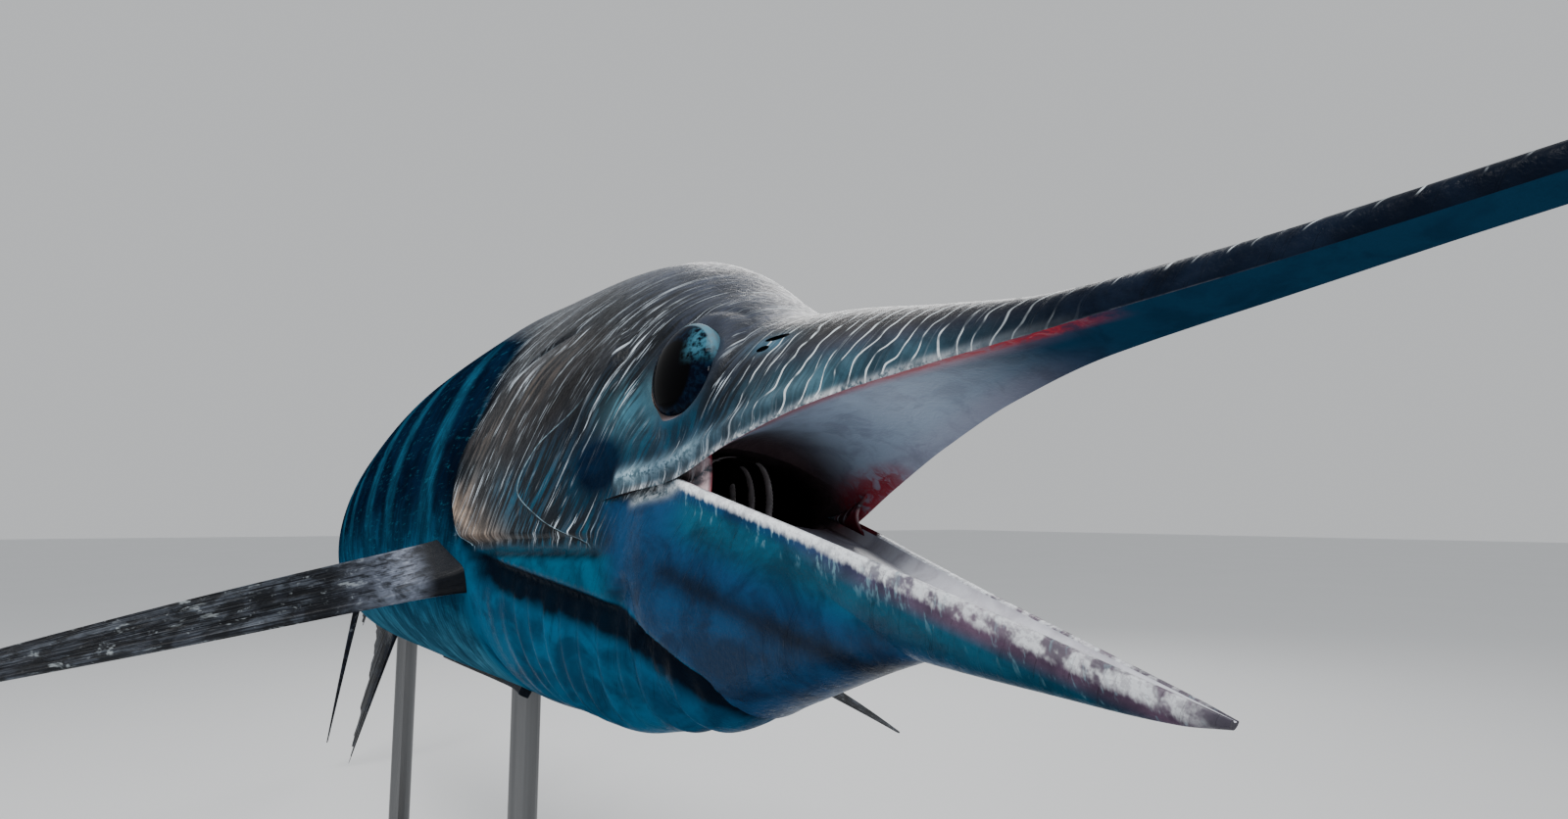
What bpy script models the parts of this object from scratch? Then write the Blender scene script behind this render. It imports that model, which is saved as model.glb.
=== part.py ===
"""Striped marlin, a life-size still model with an open mouth, on a plain stand with two rods.

Every length is in metres. The fish is drawn straight in its own frame, which has its origin midway
between the eyes: +X to the bill, +Y to the fish's left and +Z to its back. bend() then curves the
trunk, and the empty named fish_attitude tilts the whole fish on its stand. The world's origin is
the centre of the base's underside.
"""

import math

import bmesh
import bpy
import numpy as np
from mathutils import Matrix, Vector

# Gap kept between neighbours
GAP = 0.0003

# Attitude of the fish on its stand, and the place of its eyes over the base
NOSE_UP = math.radians(4.0)
BANK = math.radians(-11.0)
EYE_HEIGHT = 0.78
EYE_FORWARD = 0.62

# Driving lengths along the fish, from the eyes
BILL_TIP = 0.80
BILL_ROOT = 0.125
GILL_EDGE = -0.290
TRUNK_CUTS = (-0.62, -1.00, -1.42)
TAIL_ROOT = -2.040

# Lower jaw: its hinge, its length and how far it hangs open
JAW_HINGE = (-0.046, -0.062)
JAW_LENGTH = 0.420
JAW_OPEN = math.radians(17.7)

# Eyes: half their spacing, radius, bulge before and depth behind their rim, and inward turn
EYE_SIDE = 0.079
EYE_RADIUS = 0.0355
EYE_BULGE = 0.012
EYE_DEPTH = 0.030
EYE_TOE_IN = math.radians(11.0)
ORBIT_FLARE = 0.007
ORBIT_REACH = 0.050
ORBIT_SHELF = (0.001, 0.002)
CORNEA_STEPS = 5
BOWL_STEPS = 3

# Upper head and bill: x, height of the ridge, half-width, height of the widest place,
# depth of the lower half below it, height of the lip edge, rise of the palate
UPPER = (
    (0.800, 0.0060, 0.0016, 0.0045, 0.0030, 0.0031, -0.0006),
    (0.700, 0.0050, 0.0055, 0.0010, 0.0070, -0.0030, -0.0015),
    (0.560, 0.0035, 0.0098, -0.0030, 0.0120, -0.0080, -0.0025),
    (0.400, 0.0020, 0.0150, -0.0075, 0.0160, -0.0145, -0.0030),
    (0.280, 0.0062, 0.0245, -0.0110, 0.0160, -0.0185, 0.0010),
    (0.200, 0.0205, 0.0395, -0.0160, 0.0240, -0.0260, 0.0060),
    (0.125, 0.0372, 0.0580, -0.0220, 0.0500, -0.0390, 0.0140),
    (0.060, 0.0490, 0.0735, -0.0250, 0.0900, -0.0580, 0.0280),
    (0.000, 0.0825, 0.0875, -0.0230, 0.1350, -0.0800, 0.0480),
    (-0.060, 0.1225, 0.0990, -0.0250, 0.2230, -0.0890, 0.0),
    (-0.120, 0.1475, 0.1120, -0.0330, 0.2230, -0.1020, 0.0),
    (-0.200, 0.1620, 0.1290, -0.0450, 0.2090, -0.1180, 0.0),
    (-0.290, 0.1700, 0.1400, -0.0550, 0.1920, -0.1280, 0.0),
)

# Throat under the lower jaw: x, height of its top inside the jaw, half-width, height of the widest
# place, height of the underside
THROAT = (
    (0.205, -0.1610, 0.0080, -0.1640, -0.1720),
    (0.145, -0.1500, 0.0340, -0.1550, -0.1870),
    (0.085, -0.1350, 0.0540, -0.1420, -0.2060),
    (0.040, -0.1200, 0.0680, -0.1300, -0.2210),
    (0.000, -0.1000, 0.0810, -0.1100, -0.2395),
    (-0.050, -0.0760, 0.0945, -0.0850, -0.2500),
)
# Where the throat's own section has turned into the head's
THROAT_BLEND = (-0.03, -0.11)
# How far the throat reaches into the head before the head is cut from it
THROAT_TUCK = 0.002

# Trunk behind the gill opening: x, height of the back, half-width, height of the widest place, belly
TRUNK = (
    (-0.290, 0.1700, 0.1400, -0.0550, -0.2470),
    (-0.420, 0.1790, 0.1470, -0.0450, -0.2370),
    (-0.650, 0.1800, 0.1490, -0.0350, -0.2200),
    (-0.950, 0.1620, 0.1340, -0.0250, -0.1920),
    (-1.250, 0.1260, 0.1020, -0.0150, -0.1500),
    (-1.550, 0.0800, 0.0640, -0.0080, -0.0980),
    (-1.800, 0.0460, 0.0400, -0.0030, -0.0520),
    (-1.950, 0.0330, 0.0260, 0.0, -0.0350),
    (-2.040, 0.0330, 0.0110, 0.0, -0.0330),
)

# Mouth cavity: x, top, half-width, height of the widest place, bottom
MOUTH = (
    (0.055, -0.0520, 0.0450, -0.0680, -0.0860),
    (0.000, -0.0400, 0.0660, -0.0720, -0.0980),
    (-0.050, -0.0400, 0.0680, -0.0740, -0.1080),
    (-0.100, -0.0500, 0.0560, -0.0800, -0.1120),
    (-0.150, -0.0660, 0.0340, -0.0880, -0.1080),
    (-0.180, -0.0820, 0.0120, -0.0900, -0.0980),
)

# Lower jaw along its length: share of the length, half-width, depth, lip thickness, trough depth
JAW = (
    (0.00, 0.0860, 0.0540, 0.0080, 0.0300),
    (0.20, 0.0735, 0.0590, 0.0075, 0.0300),
    (0.40, 0.0520, 0.0550, 0.0070, 0.0240),
    (0.60, 0.0330, 0.0420, 0.0060, 0.0150),
    (0.80, 0.0180, 0.0250, 0.0050, 0.0060),
    (0.95, 0.0075, 0.0110, 0.0035, 0.0015),
    (1.00, 0.0025, 0.0035, 0.0015, 0.0005),
)

# Sideways swing and droop of the body axis: x, offset
SWING = ((-0.30, 0.0), (-0.62, -0.009), (-0.95, -0.013), (-1.45, 0.004), (-1.80, 0.035), (-2.45, 0.150))
DROOP = ((-0.30, 0.0), (-0.70, -0.012), (-1.15, -0.036), (-1.60, -0.060), (-2.45, -0.095))

# Relief of the head: strap of the upper jaw along the lip, rim of the lip, rim of the orbit. A run
# gives the four places along the fish where a form starts to rise, is full, starts to fall and ends
STRAP_RUN = (-0.058, -0.048, 0.100, 0.150)
STRAP_ABOVE_LIP = 0.011
STRAP_RISE = 0.0034
STRAP_WIDTH = 0.0060
LIP_RUN = (-0.054, -0.024, 0.350, 0.450)
LIP_RISE = 0.0014
LIP_WIDTH = 0.004
ORBIT_RISE = 0.0024
ORBIT_WIDTH = 0.006

# Gill cover: height of each row, with the x of its front edge, preopercle edge and rear edge
COVER = (
    (0.070, -0.120, -0.135, -0.160),
    (0.052, -0.084, -0.095, -0.209),
    (0.018, -0.068, -0.083, -0.253),
    (-0.016, -0.066, -0.110, -0.287),
    (-0.047, -0.070, -0.158, -0.310),
    (-0.078, -0.068, -0.176, -0.311),
    (-0.103, -0.062, -0.140, -0.294),
    (-0.121, -0.058, -0.085, -0.274),
)
COVER_ROWS = 15
COVER_SINK = 0.004
# Share of the way from the front edge to the preopercle's edge, and from there to the rear edge,
# with the height of the plate's surface over the head
PREOPERCLE = ((0.0, 0.0008), (0.5, 0.0028), (1.0, 0.0054))
OPERCLE = ((0.035, 0.0028), (0.40, 0.0038), (0.75, 0.0062), (0.97, 0.0078), (1.0, 0.0058))

# Rear edge of the throat membrane, from the gill cover's corner to the midline: x, height
MEMBRANE = (
    (0.036, -0.230),
    (0.030, -0.203),
    (0.019, -0.196),
    (-0.012, -0.179),
    (-0.062, -0.160),
    (-0.112, -0.150),
    (-0.230, -0.129),
    (-0.300, -0.115),
)
MEMBRANE_STEP = 0.0075
MEMBRANE_SLOPE = 0.010
MEMBRANE_FRONT = (0.020, 0.036)
MEMBRANE_FADE = 0.20
PLEAT_DEPTH = 0.0015
PLEAT_PITCH = 0.036
PLEAT_LEAN = math.radians(20.0)
PLEAT_SIDE = (0.020, 0.060)
# Share of the height in the direction in which relief moves the throat's skin
THROAT_OUTWARD = 0.4

# Nostrils: x, height, half-length and half-height of each pit
NOSTRILS = ((0.091, 0.008, 0.0030, 0.0040), (0.081, 0.009, 0.0036, 0.0026))
NOSTRIL_DEPTH = 0.004

# Paired fins of each side: +1 is the fish's left. Leading and trailing edges as root, control, tip
PECTORAL_LEAD = {1: ((-0.302, 0.118, -0.150), (-0.350, 0.350, -0.200), (-0.450, 0.550, -0.250))}
PECTORAL_LEAD[-1] = ((-0.300, -0.120, -0.152), (-0.330, -0.340, -0.240), (-0.413, -0.559, -0.316))
PECTORAL_PITCH = {1: math.radians(9.0), -1: math.radians(27.0)}
PECTORAL_CHORDS = (0.088, 0.092, 0.006)
PECTORAL_ROOT_REACH = 0.05
PELVIC_SPAN = (-0.345, -0.640)
PELVIC_SIDE = (0.026, 0.030)
PELVIC_CHORD = 0.011
PELVIC_TAPER = 0.7

# Fins on the midline: share of the base, height of the edge, backward lean in degrees
FIRST_DORSAL_BASE = (-0.215, -1.380)
FIRST_DORSAL = (
    (0.00, 0.245, 80.0),
    (0.06, 0.222, 79.5),
    (0.14, 0.160, 79.0),
    (0.25, 0.095, 78.0),
    (0.45, 0.045, 77.5),
    (0.75, 0.032, 77.0),
    (1.00, 0.016, 78.0),
)
SECOND_DORSAL_BASE = (-1.510, -1.640)
SECOND_DORSAL = ((0.0, 0.062, 42.0), (0.4, 0.046, 56.0), (1.0, 0.062, 76.0))
FIRST_ANAL_BASE = (-1.090, -1.340)
FIRST_ANAL = (
    (0.00, 0.290, 40.0),
    (0.18, 0.215, 42.0),
    (0.40, 0.110, 48.0),
    (0.70, 0.045, 58.0),
    (1.00, 0.022, 66.0),
)
SECOND_ANAL_BASE = (-1.490, -1.620)
SECOND_ANAL = ((0.0, 0.060, 42.0), (0.4, 0.044, 56.0), (1.0, 0.060, 76.0))
TAIL_LEAD = ((-1.995, 0.0, 0.026), (-2.105, 0.0, 0.235), (-2.300, 0.0, 0.440))
TAIL_TRAIL = ((-2.088, 0.0, 0.0), (-2.105, 0.0, 0.100), (-2.306, 0.0, 0.434))
ROOT_SINK = 0.012
RAY_SPREAD = 1.25

# Thickness of the fins at the root and at the edge, and share of it between two rays
MEDIAN_THICK = (0.0100, 0.0022)
SMALL_THICK = (0.0060, 0.0018)
PECTORAL_THICK = (0.0170, 0.0024)
TAIL_THICK = (0.0180, 0.0026)
PELVIC_THICK = (0.0080, 0.0030)
BETWEEN_RAYS = 0.62

# Rays of each fin, and rows of points from its root to its edge
MEDIAN_GRIDS = {
    "first_dorsal_fin": (16, 4),
    "second_dorsal_fin": (6, 3),
    "first_anal_fin": (9, 5),
    "second_anal_fin": (6, 3),
}
PECTORAL_GRID = (6, 7)
PELVIC_GRID = (1, 9)
TAIL_GRID = (7, 7)

# Keels on the tail stem: x of both ends, height off the midline, half-height at the middle and at
# the ends, rise, the share of the stem's half-width where they root, and how blunt their ends are
KEEL_SPAN = (-2.030, -1.900)
KEEL_OFF = 0.012
KEEL_HALF = 0.0045
KEEL_END_HALF = 0.0018
KEEL_RISE = 0.011
KEEL_ROOT = 0.7
KEEL_BLUNT = 0.7
KEEL_RINGS = 7

# Stand: base length, width, thickness and its edge bevel, rods by their place along the fish
BASE = (1.25, 0.50, 0.030)
BASE_BEVEL = 0.006
BASE_BEVEL_STEPS = 3
ROD_AT = {"stand_rod_front": -0.430, "stand_rod_rear": -1.000}
ROD_RADIUS = 0.015
FOOT_RADIUS = 0.045
FOOT_HEIGHT = 0.010
FOOT_BEVEL = 0.002
ROD_REACH = 0.060
ROD_SIDES = 20

# Steps round a section: crown and each cheek of the head, palate, and each half of the trunk
CROWN_STEPS = 20
CHEEK_STEPS = 6
PALATE_STEPS = 6
BILL_CROWN_STEPS = 14
BILL_CHEEK_STEPS = 4
BILL_PALATE_STEPS = 4
HALF_STEPS = 14
EYE_SIDES = 18
THROAT_STEPS = 18
THROAT_TOP_STEPS = 3
JAW_STEPS = 16
TROUGH_STEPS = 10

# Sections along each piece, as runs of evenly spaced places: start, end and count
BILL_RUNS = ((BILL_ROOT + GAP, 0.30, 6), (0.36, BILL_TIP, 7))
HEAD_RUNS = ((GILL_EDGE + GAP, -0.090, 6), (-0.064, 0.060, 13), (0.080, BILL_ROOT, 3))
THROAT_RUNS = ((GILL_EDGE + GAP, 0.040, 28), (0.060, 0.200, 7))
MOUTH_RINGS = 10
TRUNK_RINGS = 9
JAW_SHARES = (0.0, 0.08, 0.16, 0.26, 0.36, 0.46, 0.56, 0.66, 0.76, 0.85, 0.93, 0.98, 1.0)
# How far the cutter of the jaw starts behind the jaw's own end, as a share of the jaw
JAW_CUT_START = -0.001


def smooth_curve(stations):
    """A smooth function through (position, value) pairs that doesn't overshoot between them."""
    xs, ys = (np.array(row, float) for row in zip(*sorted(stations)))
    steps = np.diff(ys) / np.diff(xs)
    slopes = np.concatenate([steps[:1], np.zeros(len(steps) - 1), steps[-1:]])
    for i in range(1, len(steps)):
        if steps[i - 1] * steps[i] > 0:
            slopes[i] = 2 / (1 / steps[i - 1] + 1 / steps[i])

    def value(x):
        x = np.clip(np.asarray(x, float), xs[0], xs[-1])
        i = np.clip(np.searchsorted(xs, x, side="right") - 1, 0, len(steps) - 1)
        h = xs[i + 1] - xs[i]
        t = (x - xs[i]) / h
        return (
            ys[i] * (1 + 2 * t) * (1 - t) ** 2
            + ys[i + 1] * t * t * (3 - 2 * t)
            + h * slopes[i] * t * (1 - t) ** 2
            + h * slopes[i + 1] * t * t * (t - 1)
        )

    return value


def columns(table):
    """One smooth function of the first column for each other column of a station table."""
    return [smooth_curve([(row[0], row[k]) for row in table]) for k in range(1, len(table[0]))]


up_top, up_half, up_wide_z, up_lower, up_edge_z, up_arch = columns(UPPER)
th_top, th_half, th_wide_z, th_bottom = columns(THROAT)
tr_top, tr_half, tr_wide_z, tr_bottom = columns(TRUNK)
mo_top, mo_half, mo_wide_z, mo_bottom = columns(MOUTH)
jaw_half, jaw_depth, jaw_lip, jaw_trough = columns(JAW)
cover_front, cover_step, cover_rear = columns(COVER)
membrane_z = smooth_curve(MEMBRANE)
swing = smooth_curve(SWING)
droop = smooth_curve(DROOP)


def ramp(value, start, end):
    """Smooth step from 0 at start to 1 at end."""
    t = float(np.clip((value - start) / (end - start), 0, 1))
    return t * t * (3 - 2 * t)


def bump(distance, width):
    return math.exp(-((distance / width) ** 2))


def run(x, places):
    """1 along the middle of a form and 0 beyond its ends."""
    return ramp(x, *places[:2]) * (1 - ramp(x, *places[2:]))


def spaced(runs):
    return np.concatenate([np.linspace(*stretch) for stretch in runs])


def bend(points):
    """Points of the straight fish, moved so that each section stays square to the curved axis."""
    points = np.asarray(points, float).reshape(-1, 3)
    x, y, z = points.T
    step = 0.01
    side = (swing(x + step) - swing(x - step)) / (2 * step)
    rise = (droop(x + step) - droop(x - step)) / (2 * step)
    ahead = np.stack([np.ones_like(x), side, rise], 1)
    ahead /= np.linalg.norm(ahead, axis=1)[:, None]
    left = np.stack([-side, np.ones_like(x), np.zeros_like(x)], 1)
    left /= np.linalg.norm(left, axis=1)[:, None]
    up = np.cross(ahead, left)
    axis = np.stack([x, swing(x), droop(x)], 1)
    return axis + y[:, None] * left + z[:, None] * up


def add_mesh(name, points, faces):
    """A mesh object of these points and faces, with its faces turned outwards."""
    mesh = bpy.data.meshes.new(name)
    mesh.from_pydata([tuple(p) for p in points], [], faces)
    shaped = bmesh.new()
    shaped.from_mesh(mesh)
    bmesh.ops.recalc_face_normals(shaped, faces=shaped.faces)
    if shaped.calc_volume(signed=True) < 0:
        bmesh.ops.reverse_faces(shaped, faces=shaped.faces)
    shaped.to_mesh(mesh)
    shaped.free()
    obj = bpy.data.objects.new(name, mesh)
    bpy.context.scene.collection.objects.link(obj)
    smooth(obj)
    return obj


def smooth(obj, angle=math.radians(40)):
    obj.data.shade_smooth()
    obj.data.set_sharp_from_angle(angle=angle)


def loft(name, rings):
    """A closed solid through rings of equally many points, with a flat face at each end."""
    count = len(rings[0])
    points = [p for ring in rings for p in ring]
    faces = []
    for i in range(len(rings) - 1):
        for j in range(count):
            a, b = i * count + j, i * count + (j + 1) % count
            faces.append((a, b, b + count))
            faces.append((a, b + count, a + count))
    last = (len(rings) - 1) * count
    faces.append(tuple(range(count)))
    faces.append(tuple(range(last + count - 1, last - 1, -1)))
    return add_mesh(name, points, faces)


def as_cutter(obj):
    """A helper that only cuts: it isn't part of the fish."""
    obj.hide_render = True
    obj.display_type = "WIRE"
    return obj


def keep_largest(obj):
    """Drop all but the largest closed surface of a mesh."""
    shape = bmesh.new()
    shape.from_mesh(obj.data)
    unseen = set(shape.faces)
    pieces = []
    while unseen:
        piece = {unseen.pop()}
        edge_of_growth = set(piece)
        while edge_of_growth:
            near = {f for face in edge_of_growth for e in face.edges for f in e.link_faces}
            edge_of_growth = near - piece
            piece |= near
        unseen -= piece
        pieces.append(piece)
    largest = max(pieces, key=lambda piece: sum(face.calc_area() for face in piece))
    dropped = [face for piece in pieces if piece is not largest for face in piece]
    if dropped:
        bmesh.ops.delete(shape, geom=dropped, context="FACES")
    shape.to_mesh(obj.data)
    shape.free()


def combine(obj, others, operation):
    """Apply a Boolean with each of the other objects in turn, and keep the largest piece."""
    for other in others:
        change = obj.modifiers.new(operation.lower(), "BOOLEAN")
        change.operation = operation
        change.solver = "EXACT"
        change.object = other
    bpy.context.view_layer.update()
    graph = bpy.context.evaluated_depsgraph_get()
    result = bpy.data.meshes.new_from_object(obj.evaluated_get(graph))
    obj.modifiers.clear()
    before = obj.data
    obj.data = result
    bpy.data.meshes.remove(before)
    keep_largest(obj)
    smooth(obj)
    return obj


def trim(obj, *cutters):
    return combine(obj, cutters, "DIFFERENCE")


def head_lift(x, z):
    """Relief of the head's sides: upper jaw strap, lip and orbit rim."""
    edge = float(up_edge_z(x))
    strap = STRAP_RISE * run(x, STRAP_RUN) * bump(z - edge - STRAP_ABOVE_LIP, STRAP_WIDTH)
    lip = LIP_RISE * run(x, LIP_RUN) * bump(z - edge, LIP_WIDTH)
    orbit = ORBIT_RISE * bump(math.hypot(x, z) - EYE_RADIUS - ORBIT_FLARE, ORBIT_WIDTH)
    return strap + lip + orbit


def egg_point(half, wide, reach, angle, lift):
    """A point of an egg section, moved out by lift: angle 0 is the left side and pi/2 the top."""
    normal = np.array([math.cos(angle) / half, math.sin(angle) / reach])
    normal /= np.linalg.norm(normal)
    return half * math.cos(angle) + lift * normal[0], wide + reach * math.sin(angle) + lift * normal[1]


def upper_ring(x, grow=0.0, steps=(CROWN_STEPS, CHEEK_STEPS, PALATE_STEPS)):
    """Section of the upper head or bill: the crown, both cheeks down to the lip, and the palate."""
    top, half, wide, lower, edge, arch = (
        float(f(x)) for f in (up_top, up_half, up_wide_z, up_lower, up_edge_z, up_arch)
    )
    crown_steps, cheek_steps, palate_steps = steps
    right_half = []
    for angle in np.linspace(math.pi / 2, 0, crown_steps // 2 + 1):
        z = wide + (top - wide) * math.sin(angle)
        right_half.append(egg_point(half, wide, top - wide, angle, grow + head_lift(x, z)))
    last = math.asin((wide - edge) / lower)
    for angle in np.linspace(0, -last, cheek_steps + 1)[1:]:
        z = wide + lower * math.sin(angle)
        right_half.append(egg_point(half, wide, lower, angle, grow + head_lift(x, z)))
    edge_half = right_half[-1][0]
    right_half[-1] = (edge_half, edge - grow)
    shares = np.linspace(1, -1, palate_steps + 1)[1:-1]
    palate = [(edge_half * s, edge - grow + arch * (1 - s * s)) for s in shares]
    mirrored = [(-y, z) for y, z in reversed(right_half[1:])]
    return bend([(x, y, z) for y, z in right_half + palate + mirrored])


def oval_ring(x, top, half, wide, bottom, grow=0.0):
    """Egg-shaped section with its widest place at the height wide."""
    points = []
    for angle in np.linspace(0, 2 * math.pi, 2 * HALF_STEPS, endpoint=False):
        reach = top - wide if angle < math.pi else wide - bottom
        points.append((x, *egg_point(half, wide, reach, angle, grow)))
    return bend(points)


def trunk_ring(x, grow=0.0):
    return oval_ring(x, tr_top(x), tr_half(x), tr_wide_z(x), tr_bottom(x), grow)


def throat_lift(x, y, z):
    """Relief of the throat: the skin behind the membrane's edge lies deeper and is pleated."""
    behind = ramp(membrane_z(x) - z, 0.0, MEMBRANE_SLOPE) * (1 - ramp(x, *MEMBRANE_FRONT))
    fade = 1 - ramp(-x, MEMBRANE_FADE, -GILL_EDGE)
    across = x * math.cos(PLEAT_LEAN) - z * math.sin(PLEAT_LEAN)
    pleats = PLEAT_DEPTH * ramp(abs(y), *PLEAT_SIDE) * math.cos(2 * math.pi * across / PLEAT_PITCH)
    return behind * fade * (pleats - MEMBRANE_STEP)


def throat_ring(x, grow=0.0):
    """Section of the throat, which turns into the head's own egg behind the jaw hinge."""
    share = ramp(-x, -THROAT_BLEND[0], -THROAT_BLEND[1])
    half, wide, lower = float(up_half(x)), float(up_wide_z(x)), float(up_lower(x))
    top = float(up_edge_z(x)) + THROAT_TUCK
    first = math.asin(min(1.0, (wide - top) / lower))
    own_top, own_half, own_wide = float(th_top(x)), float(th_half(x)), float(th_wide_z(x))
    own_reach = own_wide - float(th_bottom(x))
    outer = []
    for s in np.linspace(0, 1, THROAT_STEPS + 1):
        angle = -(first + s * (math.pi - 2 * first))
        egg = np.array(egg_point(half, wide, lower, angle, 0.0))
        own = np.array(egg_point(own_half, own_wide, own_reach, -s * math.pi, 0.0))
        y, z = (1 - share) * own + share * egg
        lift = grow + throat_lift(x, y, z)
        middle = (1 - share) * own_wide + share * wide
        outward = np.array([y, (z - middle) * THROAT_OUTWARD])
        outward /= max(np.linalg.norm(outward), 1e-6)
        corner = s in (0.0, 1.0)
        outer.append((y + lift * outward[0], z + grow if corner else z + lift * outward[1]))
    level = (1 - share) * own_top + share * top + grow
    first_y = outer[0][0]
    top_shares = np.linspace(-1, 1, THROAT_TOP_STEPS + 1)
    rim = [(first_y * s, max(level, outer[0][1]) if share < 1 else level) for s in top_shares[1:-1]]
    return bend([(x, y, z) for y, z in outer + rim])


def jaw_ring(t, grow=0.0):
    """Trough-shaped section of the lower jaw, t of the way from its hinge to its tip."""
    half, depth, lip, trough = (float(f(t)) for f in (jaw_half, jaw_depth, jaw_lip, jaw_trough))
    outer = [egg_point(half, 0.0, depth, -a, grow) for a in np.linspace(0, math.pi, JAW_STEPS + 1)]
    inner_half = half - lip
    inner = [
        (-inner_half * math.cos(a), grow - trough * math.sin(a))
        for a in np.linspace(0, math.pi, TROUGH_STEPS + 1)
    ]
    outer[0] = (outer[0][0], grow)
    outer[-1] = (outer[-1][0], grow)
    along = t * JAW_LENGTH
    points = []
    for y, z in outer + inner:
        points.append(
            (
                JAW_HINGE[0] + along * math.cos(JAW_OPEN) + z * math.sin(JAW_OPEN),
                y,
                JAW_HINGE[1] - along * math.sin(JAW_OPEN) + z * math.cos(JAW_OPEN),
            )
        )
    return np.array(points)


def side_point(x, z, side, lift):
    """A point off the fish's flank at this x and height, moved out by lift."""
    if x >= GILL_EDGE:
        top, half, wide = float(up_top(x)), float(up_half(x)), float(up_wide_z(x))
        bottom = wide - float(up_lower(x))
    else:
        top, half, wide, bottom = (float(f(x)) for f in (tr_top, tr_half, tr_wide_z, tr_bottom))
    reach = top - wide if z > wide else wide - bottom
    angle = math.asin(np.clip((z - wide) / reach, -1, 1))
    y, height = egg_point(half, wide, reach, angle, lift)
    return x, side * y, height


def belly_point(x, y):
    """The point of the belly at this distance from the midline."""
    half, wide, bottom = float(tr_half(x)), float(tr_wide_z(x)), float(tr_bottom(x))
    return x, y, wide - (wide - bottom) * math.sqrt(1 - (y / half) ** 2)


def slab(name, front, back):
    """A closed solid between two sheets of points in equal grids, split alike on both faces."""
    rows, count = np.shape(front)[:2]
    points = np.concatenate([np.reshape(front, (-1, 3)), np.reshape(back, (-1, 3))])
    under = rows * count
    faces = []
    for i in range(rows - 1):
        for j in range(count - 1):
            a = i * count + j
            b, c, d = a + 1, a + count + 1, a + count
            faces += [(a, b, c), (a, c, d)]
            faces += [(under + c, under + b, under + a), (under + d, under + c, under + a)]
    rim = list(range(count))
    rim += [i * count + count - 1 for i in range(1, rows)]
    rim += [(rows - 1) * count + j for j in range(count - 2, -1, -1)]
    rim += [i * count for i in range(rows - 2, 0, -1)]
    for a, b in zip(rim, rim[1:] + rim[:1]):
        faces += [(a, under + a, under + b), (a, under + b, b)]
    return add_mesh(name, bend(points), faces)


def fin_solid(name, middle, thickness):
    """A thin closed solid about a grid of mid-surface points."""
    middle = np.asarray(middle, float)
    along = np.gradient(middle, axis=0)
    across = np.gradient(middle, axis=1)
    normal = np.cross(along, across)
    normal /= np.maximum(np.linalg.norm(normal, axis=2), 1e-12)[..., None]
    half = normal * np.asarray(thickness)[..., None] / 2
    return slab(name, middle + half, middle - half)


def ridged(count, rows, thick):
    """Thickness of a fin on a grid: rays are the even columns, and the web between them is thinner."""
    root, edge = thick
    table = np.empty((rows, count))
    for i in range(rows):
        full = root + (edge - root) * i / (rows - 1)
        for j in range(count):
            table[i, j] = full if j % 2 == 0 else full * BETWEEN_RAYS
    return table


def arc_fin(name, lead, trail, grid, thick):
    """A fin between two curved edges, each given by root, control and tip, with rays side by side."""
    rays, rows = grid
    count = 2 * rays + 1
    middle = []
    for v in np.linspace(0, 1, rows):
        weights = ((1 - v) ** 2, 2 * v * (1 - v), v * v)
        front = sum(w * np.array(p) for w, p in zip(weights, lead))
        rear = sum(w * np.array(p) for w, p in zip(weights, trail))
        middle.append([front + (rear - front) * u for u in np.linspace(0, 1, count)])
    return fin_solid(name, middle, ridged(count, rows, thick))


def row_fin(name, base, shape, thick, sign):
    """A fin whose rays stand in a row along the back or, with sign -1, along the belly."""
    height, lean = columns(shape)
    rays, rows = MEDIAN_GRIDS[name]
    count = 2 * rays + 1
    height_of = back_height if sign > 0 else tr_bottom
    middle = []
    for v in np.linspace(0, 1, rows):
        line = []
        for u in np.linspace(0, 1, count) ** RAY_SPREAD:
            x = base[0] + (base[1] - base[0]) * u
            tilt = math.radians(float(lean(u)))
            reach = -ROOT_SINK + v * (float(height(u)) + ROOT_SINK)
            z = float(height_of(x)) + sign * reach * math.cos(tilt)
            line.append((x - reach * math.sin(tilt), 0.0, z))
        middle.append(line)
    return fin_solid(name, middle, ridged(count, rows, thick))


def back_height(x):
    return up_top(x) if x > GILL_EDGE else tr_top(x)


def turned(name, profile, sides):
    """A solid turned about Z from (radius, height) pairs that start and end on the axis."""
    points = [(0, 0, profile[0][1])]
    for radius, height in profile[1:-1]:
        for k in range(sides):
            angle = 2 * math.pi * k / sides
            points.append((radius * math.cos(angle), radius * math.sin(angle), height))
    points.append((0, 0, profile[-1][1]))
    faces = []
    for k in range(sides):
        faces.append((0, 1 + k, 1 + (k + 1) % sides))
    for i in range(len(profile) - 3):
        for k in range(sides):
            a = 1 + i * sides + k
            b = 1 + i * sides + (k + 1) % sides
            faces += [(a, a + sides, b + sides), (a, b + sides, b)]
    last = len(points) - 1
    start = last - sides
    faces += [(last, start + (k + 1) % sides, start + k) for k in range(sides)]
    return add_mesh(name, points, faces)


def eye_frame(side):
    """Matrix that sets a shape turned about Z into the orbit of this side."""
    outward = Vector((math.sin(EYE_TOE_IN), side * math.cos(EYE_TOE_IN), 0.0))
    turn = outward.to_track_quat("Z", "Y").to_matrix().to_4x4()
    return Matrix.Translation((0, side * EYE_SIDE, 0)) @ turn


def place(obj, matrix):
    obj.data.transform(matrix)
    return obj


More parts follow.
